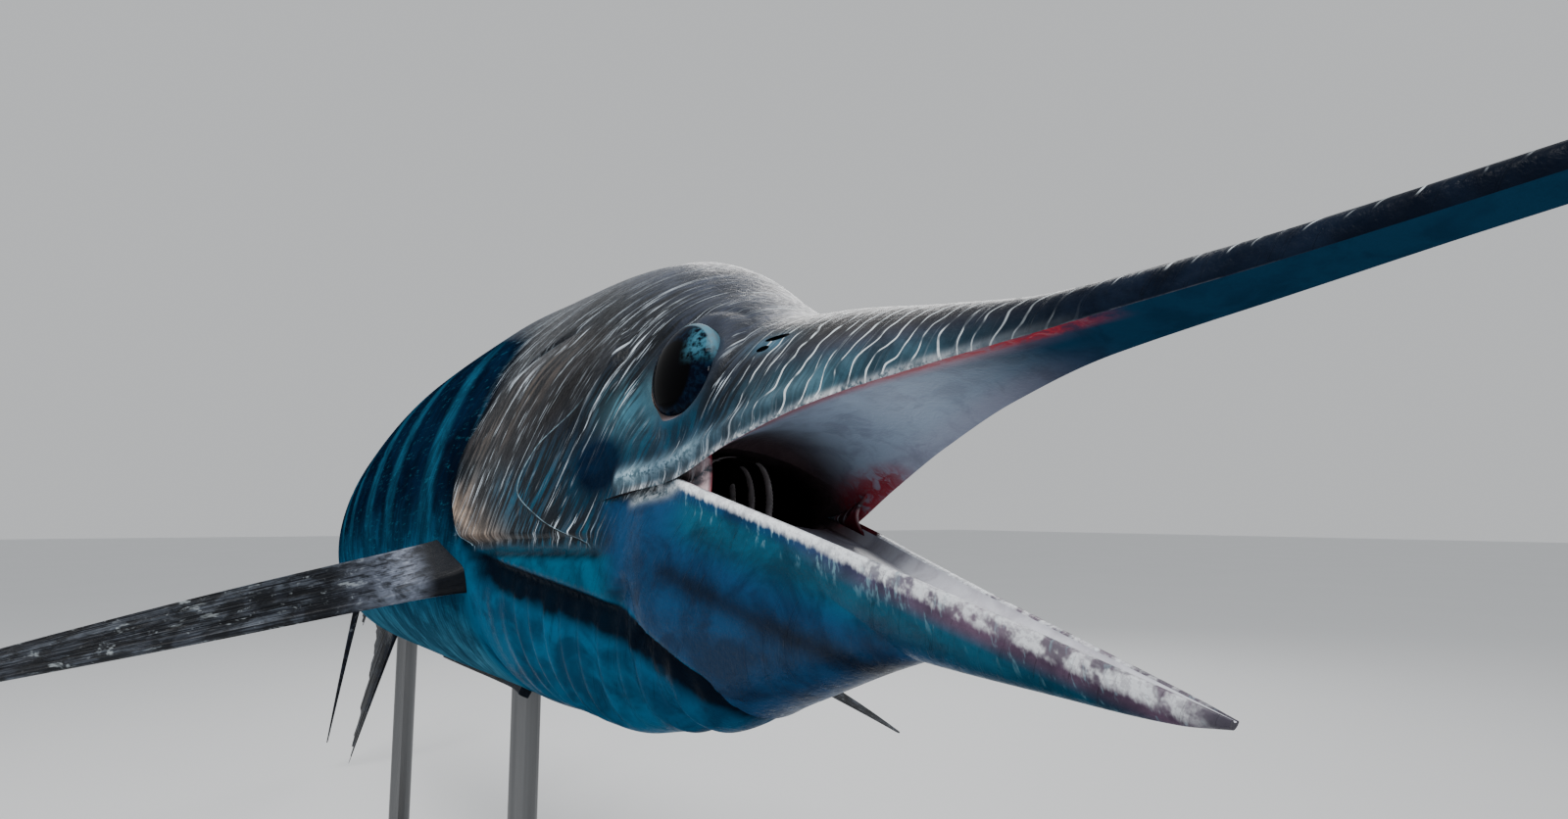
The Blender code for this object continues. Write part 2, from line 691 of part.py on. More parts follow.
def ball_profile(grow):
    """Profile of the eye: a low cornea before its rim and a deeper bowl behind."""
    radius, front, back = EYE_RADIUS + grow, EYE_BULGE + grow, EYE_DEPTH + grow
    cornea = np.linspace(0, math.pi / 2, CORNEA_STEPS + 1)[1:]
    bowl = np.linspace(0, math.pi / 2, BOWL_STEPS + 2)[1:-1]
    profile = [(0, front)]
    profile += [(radius * math.sin(a), front * math.cos(a)) for a in cornea]
    profile += [(radius * math.cos(a), -back * math.sin(a)) for a in bowl]
    return profile + [(0, -back)]


def build_eyes(sockets):
    """Both eyeballs, and the cutters of their orbits, which flare outwards."""
    for name, side in (("eye_left", 1), ("eye_right", -1)):
        place(turned(name, ball_profile(0.0), EYE_SIDES), eye_frame(side))
        radius = EYE_RADIUS + GAP
        bowl = [(r, z) for r, z in ball_profile(GAP) if z < 0]
        shelf = (radius + ORBIT_SHELF[0], ORBIT_SHELF[1])
        flare = [(0, ORBIT_REACH), (radius + 4 * ORBIT_FLARE, ORBIT_REACH), shelf, (radius, 0.0)]
        sockets.append(place(as_cutter(turned("socket_" + name, flare + bowl, EYE_SIDES)), eye_frame(side)))


def nostril_cutters():
    cutters = []
    for side in (1, -1):
        for x, z, half_length, half_height in NOSTRILS:
            shape = bmesh.new()
            bmesh.ops.create_icosphere(shape, subdivisions=1, radius=1.0)
            mesh = bpy.data.meshes.new("nostril")
            shape.to_mesh(mesh)
            shape.free()
            cutter = bpy.data.objects.new("nostril", mesh)
            bpy.context.scene.collection.objects.link(cutter)
            size = Matrix.Diagonal((half_length, NOSTRIL_DEPTH, half_height, 1))
            place(cutter, Matrix.Translation(side_point(x, z, side, 0.0)) @ size)
            cutters.append(as_cutter(cutter))
    return cutters


def build_gill_cover(name, side, grow=0.0):
    """The gill cover of one side: preopercle in front, and an opercle whose rear edge stands free."""
    outer, inner = [], []
    for z in np.linspace(COVER[0][0], COVER[-1][0], COVER_ROWS):
        front, step, rear = (float(f(z)) for f in (cover_front, cover_step, cover_rear))
        places = [(front + share * (step - front), thick) for share, thick in PREOPERCLE]
        places += [(step + share * (rear - step), thick) for share, thick in OPERCLE]
        outer.append([side_point(x, z, side, thick + grow) for x, thick in places])
        inner.append([side_point(x, z, side, -COVER_SINK) for x, _ in places])
    return slab(name, outer, inner)


def build_keels(grow=0.0):
    """Two low keels on each side of the tail stem, as tapering three-sided ridges."""
    keels = []
    for side in (1, -1):
        for level in (1, -1):
            rings = []
            for x in np.linspace(KEEL_SPAN[0] - grow, KEEL_SPAN[1] + grow, KEEL_RINGS):
                share = np.clip((x - KEEL_SPAN[0]) / (KEEL_SPAN[1] - KEEL_SPAN[0]), 0, 1)
                swell = abs(math.sin(math.pi * share)) ** KEEL_BLUNT
                base = float(tr_half(x)) * KEEL_ROOT
                crest = float(tr_half(x)) + KEEL_RISE * swell + grow
                z = level * KEEL_OFF
                half = KEEL_END_HALF + KEEL_HALF * swell + grow
                corners = [(x, side * base, z + half), (x, side * crest, z), (x, side * base, z - half)]
                rings.append(bend(corners))
            keels.append(as_cutter(loft("keel", rings)))
    return keels


def build_body():
    """Head, jaw, throat, gill covers, eyes and the four lengths of the trunk. Returns the cutters."""
    bill_steps = (BILL_CROWN_STEPS, BILL_CHEEK_STEPS, BILL_PALATE_STEPS)
    loft("bill", [upper_ring(x, 0.0, bill_steps) for x in spaced(BILL_RUNS)])
    head_places = spaced(HEAD_RUNS)
    head = loft("head", [upper_ring(x) for x in head_places])
    grown_places = np.concatenate([[GILL_EDGE], head_places[1:], [BILL_ROOT + 2 * GAP]])
    head_cutter = as_cutter(loft("head_cutter", [upper_ring(x, GAP) for x in grown_places]))
    mouth_places = np.linspace(MOUTH[0][0], MOUTH[-1][0], MOUTH_RINGS)
    mouth = as_cutter(
        loft(
            "mouth",
            [oval_ring(x, mo_top(x), mo_half(x), mo_wide_z(x), mo_bottom(x)) for x in mouth_places],
        )
    )
    sockets = []
    build_eyes(sockets)
    trim(head, mouth, *sockets, *nostril_cutters())
    jaw = loft("lower_jaw", [jaw_ring(t) for t in JAW_SHARES])
    jaw_cutter = as_cutter(
        loft("jaw_cutter", [jaw_ring(t, GAP) for t in (JAW_CUT_START, *JAW_SHARES[1:])])
    )
    trim(jaw, head_cutter)
    throat_places = spaced(THROAT_RUNS)
    throat = loft("throat", [throat_ring(x) for x in throat_places])
    throat_cutter = as_cutter(loft("throat_cutter", [throat_ring(x, GAP) for x in throat_places]))
    trim(throat, head_cutter, jaw_cutter, mouth)
    edges = [GILL_EDGE, *TRUNK_CUTS, TAIL_ROOT]
    for name, start, end in zip(("chest", "trunk", "rear_trunk", "tail_stem"), edges, edges[1:]):
        loft(name, [trunk_ring(x) for x in np.linspace(start, end + GAP, TRUNK_RINGS)])
    combine(bpy.data.objects["tail_stem"], build_keels(), "UNION")
    stretches = [np.linspace(a, b, TRUNK_RINGS)[:-1] for a, b in zip(edges, edges[1:])]
    places = np.concatenate(stretches + [[TAIL_ROOT - GAP]])
    places = np.concatenate([[GILL_EDGE + 3 * GAP], places])
    trunk_cutter = as_cutter(loft("trunk_cutter", [trunk_ring(x, GAP) for x in places]))
    for name, side in (("gill_cover_left", 1), ("gill_cover_right", -1)):
        trim(build_gill_cover(name, side), head_cutter, throat_cutter, trunk_cutter)
    return head_cutter, throat_cutter, trunk_cutter


def build_pelvic_fin(name, side, trunk_cutter):
    """A thin fin of one strand, folded back along the belly."""
    rays, rows = PELVIC_GRID
    middle = []
    for v in np.linspace(0, 1, rows):
        x = PELVIC_SPAN[0] + v * (PELVIC_SPAN[1] - PELVIC_SPAN[0])
        inner = PELVIC_SIDE[0] + v * (PELVIC_SIDE[1] - PELVIC_SIDE[0])
        chord = PELVIC_CHORD * (1 - PELVIC_TAPER * v)
        middle.append([belly_point(x, side * (inner + chord * u)) for u in np.linspace(0, 1, 2 * rays + 1)])
    trim(fin_solid(name, middle, ridged(2 * rays + 1, rows, PELVIC_THICK)), trunk_cutter)


def build_fins(head_cutter, throat_cutter, trunk_cutter):
    """All fins, each trimmed to the body that it grows from."""
    median = (
        ("first_dorsal_fin", FIRST_DORSAL_BASE, FIRST_DORSAL, MEDIAN_THICK, 1),
        ("second_dorsal_fin", SECOND_DORSAL_BASE, SECOND_DORSAL, SMALL_THICK, 1),
        ("first_anal_fin", FIRST_ANAL_BASE, FIRST_ANAL, MEDIAN_THICK, -1),
        ("second_anal_fin", SECOND_ANAL_BASE, SECOND_ANAL, SMALL_THICK, -1),
    )
    for name, base, shape, thick, sign in median:
        cutters = (head_cutter, trunk_cutter) if base[0] > GILL_EDGE else (trunk_cutter,)
        trim(row_fin(name, base, shape, thick, sign), *cutters)
    for side, word in ((1, "left"), (-1, "right")):
        lead = [np.array(p) for p in PECTORAL_LEAD[side]]
        lead[0] = lead[0] + PECTORAL_ROOT_REACH * (lead[0] - lead[1])
        back = np.array([-math.cos(PECTORAL_PITCH[side]), 0.0, math.sin(PECTORAL_PITCH[side])])
        trail = [p + chord * back for p, chord in zip(lead, PECTORAL_CHORDS)]
        fin = arc_fin(f"pectoral_fin_{word}", lead, trail, PECTORAL_GRID, PECTORAL_THICK)
        cover_cutter = as_cutter(build_gill_cover("cover_cutter", side, GAP))
        trim(fin, trunk_cutter, head_cutter, throat_cutter, cover_cutter)
        build_pelvic_fin(f"pelvic_fin_{word}", side, trunk_cutter)
    keel_cutters = build_keels(GAP)
    for sign, word in ((1, "upper"), (-1, "lower")):
        lead, trail = (
            [np.array((x, 0.0, sign * (z + GAP / 2))) for x, _, z in edge] for edge in (TAIL_LEAD, TAIL_TRAIL)
        )
        fin = arc_fin(f"tail_fin_{word}", lead, trail, TAIL_GRID, TAIL_THICK)
        trim(fin, trunk_cutter, *keel_cutters)


def build_stand(attitude, trunk_cutter):
    """A flat base and two rods, which rise plumb from it up to the belly."""
    shape = bmesh.new()
    bmesh.ops.create_cube(shape, size=1.0)
    bmesh.ops.scale(shape, vec=BASE, verts=shape.verts)
    bmesh.ops.translate(shape, vec=(0, 0, BASE[2] / 2), verts=shape.verts)
    upper_edges = [e for e in shape.edges if sum(v.co.z for v in e.verts) > BASE[2]]
    bmesh.ops.bevel(
        shape, geom=upper_edges, offset=BASE_BEVEL, segments=BASE_BEVEL_STEPS, profile=0.5, affect="EDGES"
    )
    mesh = bpy.data.meshes.new("stand_base")
    shape.to_mesh(mesh)
    shape.free()
    base = bpy.data.objects.new("stand_base", mesh)
    bpy.context.scene.collection.objects.link(base)
    smooth(base)
    trunk_cutter.matrix_world = attitude
    for name, x in ROD_AT.items():
        belly = attitude @ Vector(bend([(x, 0.0, float(tr_bottom(x)))])[0])
        foot = BASE[2] + GAP
        profile = [
            (0, foot),
            (FOOT_RADIUS, foot),
            (FOOT_RADIUS, foot + FOOT_HEIGHT - FOOT_BEVEL),
            (FOOT_RADIUS - FOOT_BEVEL, foot + FOOT_HEIGHT),
            (ROD_RADIUS, foot + FOOT_HEIGHT),
            (ROD_RADIUS, belly.z + ROD_REACH),
            (0, belly.z + ROD_REACH),
        ]
        rod = turned(name, profile, ROD_SIDES)
        trim(place(rod, Matrix.Translation((belly.x, belly.y, 0))), trunk_cutter)


# Colour, roughness and metallic value of each kind of piece
FINISHES = {
    "bill": ((0.075, 0.070, 0.072), 0.42, 0.0),
    "head": ((0.110, 0.100, 0.092), 0.38, 0.0),
    "lower_jaw": ((0.200, 0.290, 0.330), 0.40, 0.0),
    "throat": ((0.130, 0.270, 0.340), 0.40, 0.0),
    "gill_cover": ((0.150, 0.130, 0.110), 0.32, 0.10),
    "eye": ((0.010, 0.012, 0.018), 0.06, 0.0),
    "trunk": ((0.070, 0.085, 0.105), 0.36, 0.0),
    "fin": ((0.050, 0.050, 0.055), 0.45, 0.0),
    "base": ((0.035, 0.033, 0.032), 0.50, 0.0),
    "rod": ((0.560, 0.565, 0.570), 0.30, 1.0),
}
KINDS = (
    ("gill_cover", "gill_cover"),
    ("eye", "eye"),
    ("bill", "bill"),
    ("head", "head"),
    ("lower_jaw", "lower_jaw"),
    ("throat", "throat"),
    ("stand_base", "base"),
    ("stand_rod", "rod"),
)


def kind_of(name):
    for start, kind in KINDS:
        if name.startswith(start):
            return kind
    return "fin" if "_fin" in name else "trunk"


def finish_of(obj):
    """Give a piece its own Principled material."""
    colour, roughness, metallic = FINISHES[kind_of(obj.name)]
    material = bpy.data.materials.new(obj.name)
    material.use_nodes = True
    shader = material.node_tree.nodes["Principled BSDF"]
    shader.inputs["Base Color"].default_value = (*colour, 1.0)
    shader.inputs["Roughness"].default_value = roughness
    shader.inputs["Metallic"].default_value = metallic
    obj.data.materials.clear()
    obj.data.materials.append(material)


def main():
    for old in list(bpy.data.objects):
        bpy.data.objects.remove(old)
    head_cutter, throat_cutter, trunk_cutter = build_body()
    build_fins(head_cutter, throat_cutter, trunk_cutter)
    attitude = bpy.data.objects.new("fish_attitude", None)
    bpy.context.scene.collection.objects.link(attitude)
    turn = Matrix.Rotation(-NOSE_UP, 4, "Y") @ Matrix.Rotation(BANK, 4, "X")
    attitude.matrix_world = Matrix.Translation((EYE_FORWARD, 0.0, EYE_HEIGHT)) @ turn
    build_stand(attitude.matrix_world.copy(), trunk_cutter)
    for obj in list(bpy.data.objects):
        if obj.hide_render:
            bpy.data.objects.remove(obj)
        elif obj.type == "MESH":
            finish_of(obj)
            if not obj.name.startswith("stand_"):
                obj.parent = attitude


main()
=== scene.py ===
"""Looks of the striped marlin: one detailed skin, eyes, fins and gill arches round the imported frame.

Every length is in metres. The fish is drawn straight in its own frame, which has its origin midway
between the eyes: +X to the bill, +Y to the fish's left and +Z to its back. to_world() then curves the
trunk and tilts the fish on its stand, as the solids have it.
"""

import math
from types import SimpleNamespace

import bmesh
import bpy
import numpy as np
from mathutils import Matrix, Vector


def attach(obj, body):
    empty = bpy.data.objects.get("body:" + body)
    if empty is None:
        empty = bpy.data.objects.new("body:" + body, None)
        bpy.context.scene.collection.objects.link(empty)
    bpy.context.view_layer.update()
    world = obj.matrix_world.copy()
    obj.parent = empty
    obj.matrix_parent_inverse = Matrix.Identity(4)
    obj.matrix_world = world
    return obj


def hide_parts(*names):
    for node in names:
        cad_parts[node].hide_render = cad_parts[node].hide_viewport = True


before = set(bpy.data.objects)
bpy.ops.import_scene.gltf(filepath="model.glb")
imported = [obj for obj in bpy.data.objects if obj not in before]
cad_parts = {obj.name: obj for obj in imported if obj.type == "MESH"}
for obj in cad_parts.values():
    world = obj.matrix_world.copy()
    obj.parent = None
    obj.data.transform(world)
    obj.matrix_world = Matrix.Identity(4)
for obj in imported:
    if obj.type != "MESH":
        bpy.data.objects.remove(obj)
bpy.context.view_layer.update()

# Attitude of the fish on its stand, and the place of its eyes over the base
NOSE_UP = math.radians(4.0)
BANK = math.radians(-11.0)
EYE_HEIGHT = 0.78
EYE_FORWARD = 0.62

# Place of the gill opening, where the head's section turns into the trunk's
GILL_EDGE = -0.290

# Lower jaw: its hinge, its length and how far it hangs open
JAW_HINGE = (-0.046, -0.062)
JAW_LENGTH = 0.420
JAW_OPEN = math.radians(17.7)

# Eyes: half their spacing, radius, bulge before and depth behind their rim, and turn to the bill;
# then the distance from the eye to the orbit's raised rim, and the reach of the cut round the eye
EYE_SIDE = 0.079
EYE_RADIUS = 0.0355
EYE_BULGE = 0.012
EYE_DEPTH = 0.030
EYE_TOE_IN = math.radians(11.0)
ORBIT_FLARE = 0.007
ORBIT_REACH = 0.050

# Upper head and bill: x, height of the ridge, half-width, height of the widest place,
# depth of the lower half below it, height of the lip edge, rise of the palate
UPPER = (
    (0.800, 0.0060, 0.0016, 0.0045, 0.0030, 0.0031, -0.0006),
    (0.700, 0.0050, 0.0055, 0.0010, 0.0070, -0.0030, -0.0015),
    (0.560, 0.0035, 0.0098, -0.0030, 0.0120, -0.0080, -0.0025),
    (0.400, 0.0020, 0.0150, -0.0075, 0.0160, -0.0145, -0.0030),
    (0.280, 0.0062, 0.0245, -0.0110, 0.0160, -0.0185, 0.0010),
    (0.200, 0.0205, 0.0395, -0.0160, 0.0240, -0.0260, 0.0060),
    (0.125, 0.0372, 0.0580, -0.0220, 0.0500, -0.0390, 0.0140),
    (0.060, 0.0490, 0.0735, -0.0250, 0.0900, -0.0580, 0.0280),
    (0.000, 0.0825, 0.0875, -0.0230, 0.1350, -0.0800, 0.0480),
    (-0.060, 0.1225, 0.0990, -0.0250, 0.2230, -0.0890, 0.0),
    (-0.120, 0.1475, 0.1120, -0.0330, 0.2230, -0.1020, 0.0),
    (-0.200, 0.1620, 0.1290, -0.0450, 0.2090, -0.1180, 0.0),
    (-0.290, 0.1700, 0.1400, -0.0550, 0.1920, -0.1280, 0.0),
)

# Throat under the lower jaw: x, height of its top inside the jaw, half-width, height of the widest
# place, height of the underside
THROAT = (
    (0.205, -0.1610, 0.0080, -0.1640, -0.1720),
    (0.145, -0.1500, 0.0340, -0.1550, -0.1870),
    (0.085, -0.1350, 0.0540, -0.1420, -0.2060),
    (0.040, -0.1200, 0.0680, -0.1300, -0.2210),
    (0.000, -0.1000, 0.0810, -0.1100, -0.2395),
    (-0.050, -0.0760, 0.0945, -0.0850, -0.2500),
)
# How far the throat's top reaches into the head
THROAT_TUCK = 0.002

# Trunk behind the gill opening: x, height of the back, half-width, height of the widest place, belly
TRUNK = (
    (-0.290, 0.1700, 0.1400, -0.0550, -0.2470),
    (-0.420, 0.1790, 0.1470, -0.0450, -0.2370),
    (-0.650, 0.1800, 0.1490, -0.0350, -0.2200),
    (-0.950, 0.1620, 0.1340, -0.0250, -0.1920),
    (-1.250, 0.1260, 0.1020, -0.0150, -0.1500),
    (-1.550, 0.0800, 0.0640, -0.0080, -0.0980),
    (-1.800, 0.0460, 0.0400, -0.0030, -0.0520),
    (-1.950, 0.0330, 0.0260, 0.0, -0.0350),
    (-2.040, 0.0330, 0.0110, 0.0, -0.0330),
)

# Mouth cavity: x, top, half-width, height of the widest place, bottom
MOUTH = (
    (0.055, -0.0520, 0.0450, -0.0680, -0.0860),
    (0.000, -0.0400, 0.0660, -0.0720, -0.0980),
    (-0.050, -0.0400, 0.0680, -0.0740, -0.1080),
    (-0.100, -0.0500, 0.0560, -0.0800, -0.1120),
    (-0.150, -0.0660, 0.0340, -0.0880, -0.1080),
    (-0.180, -0.0820, 0.0120, -0.0900, -0.0980),
)

# Lower jaw along its length: share of the length, half-width, depth, lip thickness, trough depth
JAW = (
    (0.00, 0.0860, 0.0540, 0.0080, 0.0300),
    (0.20, 0.0735, 0.0590, 0.0075, 0.0300),
    (0.40, 0.0520, 0.0550, 0.0070, 0.0240),
    (0.60, 0.0330, 0.0420, 0.0060, 0.0150),
    (0.80, 0.0180, 0.0250, 0.0050, 0.0060),
    (0.95, 0.0075, 0.0110, 0.0035, 0.0015),
    (1.00, 0.0025, 0.0035, 0.0015, 0.0005),
)

# Sideways swing and droop of the body axis: x, offset
SWING = ((-0.30, 0.0), (-0.62, -0.009), (-0.95, -0.013), (-1.45, 0.004), (-1.80, 0.035), (-2.45, 0.150))
DROOP = ((-0.30, 0.0), (-0.70, -0.012), (-1.15, -0.036), (-1.60, -0.060), (-2.45, -0.095))

# Relief of the head: strap of the upper jaw along the lip, rim of the lip, rim of the orbit with the
# dip behind it as depth, distance and width, and how far from the midline and behind the eye they
# start. A run gives the four places along the fish where a form starts, is full, falls and ends
STRAP_RUN = (-0.058, -0.048, 0.100, 0.150)
STRAP_ABOVE_LIP = 0.011
STRAP_RISE = 0.0034
STRAP_WIDTH = 0.0060
LIP_RUN = (-0.054, -0.024, 0.350, 0.450)
LIP_RISE = 0.0014
LIP_WIDTH = 0.004
ORBIT_RISE = 0.0024
ORBIT_WIDTH = 0.006
ORBIT_REAR_LOSS = 0.8
REAR_DIP = (0.0050, 0.004, 0.014)
OFF_MIDLINE = (0.02, 0.05)
BEHIND_PUPIL = (0.0, 0.022)

# Gill cover: height of each row, with the x of its front edge, preopercle edge and rear edge
COVER = (
    (0.070, -0.120, -0.135, -0.160),
    (0.052, -0.084, -0.095, -0.209),
    (0.018, -0.068, -0.083, -0.253),
    (-0.016, -0.066, -0.110, -0.287),
    (-0.047, -0.070, -0.158, -0.310),
    (-0.078, -0.068, -0.176, -0.311),
    (-0.103, -0.062, -0.140, -0.294),
    (-0.121, -0.058, -0.085, -0.274),
)
# Free edge of the throat membrane on the side of the head: x, height
MEMBRANE = (
    (0.036, -0.230),
    (0.030, -0.203),
    (0.019, -0.196),
    (-0.012, -0.179),
    (-0.062, -0.160),
    (-0.112, -0.150),
    (-0.230, -0.129),
    (-0.300, -0.115),
)
# Where the membrane's edge fades towards the gill opening, and the lean of its pleats
MEMBRANE_FADE = 0.20
PLEAT_LEAN = math.radians(20.0)
# Share of the height in the direction in which relief moves the throat's skin
THROAT_OUTWARD = 0.4

# The fish's sides, as the sign of Y
SIDES = {"left": 1, "right": -1}

# Paired fins of each side: leading edge as root, control, tip; pitch; chords at those three places
PECTORAL_LEAD = {1: ((-0.302, 0.118, -0.150), (-0.350, 0.350, -0.200), (-0.450, 0.550, -0.250))}
PECTORAL_LEAD[-1] = ((-0.300, -0.120, -0.152), (-0.330, -0.340, -0.240), (-0.413, -0.559, -0.316))
PECTORAL_PITCH = {1: math.radians(9.0), -1: math.radians(27.0)}
PECTORAL_CHORDS = (0.088, 0.092, 0.006)
PECTORAL_ROOT_REACH = 0.05
PELVIC_SPAN = (-0.345, -0.640)
PELVIC_SIDE = (0.026, 0.030)
PELVIC_CHORD = 0.011
PELVIC_TAPER = 0.7

# Fins on the midline: share of the base, height of the edge, backward lean in degrees
FIRST_DORSAL_BASE = (-0.215, -1.380)
FIRST_DORSAL = (
    (0.00, 0.245, 80.0),
    (0.06, 0.222, 79.5),
    (0.14, 0.160, 79.0),
    (0.25, 0.095, 78.0),
    (0.45, 0.045, 77.5),
    (0.75, 0.032, 77.0),
    (1.00, 0.016, 78.0),
)
SECOND_DORSAL_BASE = (-1.510, -1.640)
SECOND_DORSAL = ((0.0, 0.062, 42.0), (0.4, 0.046, 56.0), (1.0, 0.062, 76.0))
FIRST_ANAL_BASE = (-1.090, -1.340)
FIRST_ANAL = (
    (0.00, 0.290, 40.0),
    (0.18, 0.215, 42.0),
    (0.40, 0.110, 48.0),
    (0.70, 0.045, 58.0),
    (1.00, 0.022, 66.0),
)
SECOND_ANAL_BASE = (-1.490, -1.620)
SECOND_ANAL = ((0.0, 0.060, 42.0), (0.4, 0.044, 56.0), (1.0, 0.060, 76.0))
TAIL_LEAD = ((-1.995, 0.0, 0.026), (-2.105, 0.0, 0.235), (-2.300, 0.0, 0.440))
TAIL_TRAIL = ((-2.088, 0.0, 0.0), (-2.105, 0.0, 0.100), (-2.306, 0.0, 0.434))
# Depth of the fins' roots in the body, and how the rays crowd at the front of a row
ROOT_SINK = 0.012
RAY_SPREAD = 1.25

# Thickness of the fins at the root and at the edge
MEDIAN_THICK = (0.0100, 0.0022)
SMALL_THICK = (0.0060, 0.0018)
PECTORAL_THICK = (0.0170, 0.0024)
TAIL_THICK = (0.0180, 0.0026)
PELVIC_THICK = (0.0080, 0.0030)

# Keels on the tail stem: x of both ends, height off the midline, half-height at the middle and at
# the ends, rise, the share of the stem's half-width where they root, how blunt their ends are, where
# their crests start, how round these are, and their sections and steps
KEEL_SPAN = (-2.030, -1.900)
KEEL_OFF = 0.012
KEEL_HALF = 0.0045
KEEL_END_HALF = 0.0018
KEEL_RISE = 0.011
KEEL_ROOT = 0.7
KEEL_BLUNT = 0.7
KEEL_START = 0.86
KEEL_ROUND = 0.7
KEEL_PLACES = 44
KEEL_ACROSS = 16

# Folds and grooves: groove over the eye, slit behind the gill cover, groove under it, fold of the
# throat membrane with the pleats behind it, and lateral line
BROW_OFF = 0.0165
BROW_DEPTH = 0.0011
BROW_WIDTH = 0.0022
BROW_FADE = (0.0, 0.02)
SLIT_DEPTH = 0.0075
SLIT_RUN = (-0.010, 0.0, 0.003, 0.022)
SLIT_LEVELS = (-0.128, -0.112, 0.050, 0.072)
UNDER_COVER = (-0.1275, 0.0050, 0.0022)
UNDER_COVER_RUN = (-0.300, -0.270, -0.080, -0.058)
FOLD_DEPTH = 0.0050
FOLD_WIDTH = 0.022
FOLD_STEP = 0.0050
FOLD_EDGE = 0.0110
FOLD_FRONT = (0.030, 0.050)
FOLD_PLEAT_DEPTH = 0.0019
FOLD_PLEAT_PITCH = 0.0225
FOLD_PLEAT_SIDE = (0.012, 0.050)
PLEATS_START = (0.010, 0.030)
LATERAL_LINE = ((-2.00, 0.010), (-1.40, 0.018), (-0.70, 0.022), (-0.45, 0.052), (-0.30, 0.098))
LATERAL_DEPTH = 0.0009
LATERAL_WIDTH = 0.0025
LATERAL_START = (0.31, 0.36)

# Skin over the gill cover, as shares of the way to the preopercle's edge and on to the rear edge
SKIN_PREOPERCLE = ((0.0, -0.0016), (0.14, 0.0), (0.5, 0.0027), (0.85, 0.0052), (1.0, 0.0056))
SKIN_OPERCLE = (
    (0.0, 0.0056),
    (0.018, 0.0030),
    (0.06, 0.0025),
    (0.40, 0.0038),
    (0.75, 0.0060),
    (0.96, 0.0080),
    (1.0, 0.0064),
)
SKIN_COVER_SINK = 0.0045
COVER_TOP_FADE = 0.055
COVER_LOW_FADE = 0.010

# Meeting of body and throat: where the body's section closes and how near its underside, where and
# how deep the throat dives into it, how far the body sinks under the throat, how far the throat
# stands proud, and where the throat's own section turns into the body's
BODY_CLOSES = 0.1155
BODY_FLOOR = 0.9996
THROAT_DIVE = (0.215, 0.245, 0.0030)
BODY_UNDER = (0.0022, 0.014, 0.004)
BODY_UNDER_RUN = (-0.245, -0.215, -0.100, -0.090)
THROAT_PROUD = 0.0002
SKIN_BLEND = (-0.012, -0.075)

# Wall of flesh between the jaw's lip and the throat: its drop under the lip, and its share of the steps
WALL_DROP = 0.0105
WALL_PROUD = -0.0014
WALL_SHARE = 0.14
WALL_RUN = (-0.100, -0.060, 0.150, 0.200)

# Wedge of flesh between the two lobes of the tail
STEM_END = -2.092
STEM_FADE = (2.030, 2.092)
STEM_THIN = 0.93
STEM_LOW = 0.10

# Sections of the skin along the fish, as runs of evenly spaced places, and steps round them; then
# rings and steps of throat, jaw and gill covers, the rounding of the jaw's lip, how far rings crowd
# at the jaw's tip and rows of points at the cover's step, and how deep the cover's ends tuck in
SKIN_RUNS = ((0.800, 0.132, 140), (0.130, -0.345, 320), (-0.352, -2.030, 220), (-2.036, STEM_END, 12))
SKIN_CROWN, SKIN_CHEEK, SKIN_PALATE = 170, 56, 48
SKIN_THROAT_RUN = (0.2045, -0.252, 300)
SKIN_THROAT_STEPS = (150, 12)
SKIN_JAW_RINGS = 200
SKIN_JAW_STEPS = (70, 8, 44)
SKIN_COVER_ROWS = 130
SKIN_COVER_STEPS = (44, 90)
JAW_LIP_RISE = 0.0022
JAW_CROWDING = 1.3
COVER_CROWDING = 1.5
COVER_TUCK = 0.0016

# Material slots of the skin: what faces outwards, and what lines mouth, orbits and nostrils
SKIN, LINING = 0, 1
SHARP_ANGLE = math.radians(38)

# Orbits and nostrils: gap round the eye, profile of the orbit's edge, each nostril's x, height,
# half-length and half-height, and the depth and tilt of both
SOCKET_GAP = 0.0004
SOCKET_SIDES = 96
SOCKET_STEPS = 15
SOCKET_EDGE = ((0.0031, 0.0095), (-0.0020, 0.0040), (-0.0007, 0.0020), (0.0, -0.0006))
CORNEA_STEPS = 20
BOWL_STEPS = 14
SKIN_NOSTRILS = ((0.0830, 0.0120, 0.0165, 0.0024), (0.0760, 0.0040, 0.0056, 0.0025))
NOSTRIL_DEPTH = 0.004
NOSTRIL_TILT = math.radians(-8.0)
MOUTH_CUT_RINGS = 90
MOUTH_CUT_STEPS = 72

# Fold of skin at the corner of the mouth: its run along the jaw, curve, sag and thickness
CORNER_SPAN = (-0.020, 0.036)
CORNER_STEPS = 28
CORNER_TUCK = (0.011, 0.004)
CORNER_INSET = 0.0030
CORNER_THICK = 0.0030
CORNER_SAG = 0.006
CORNER_CURVE = 0.008

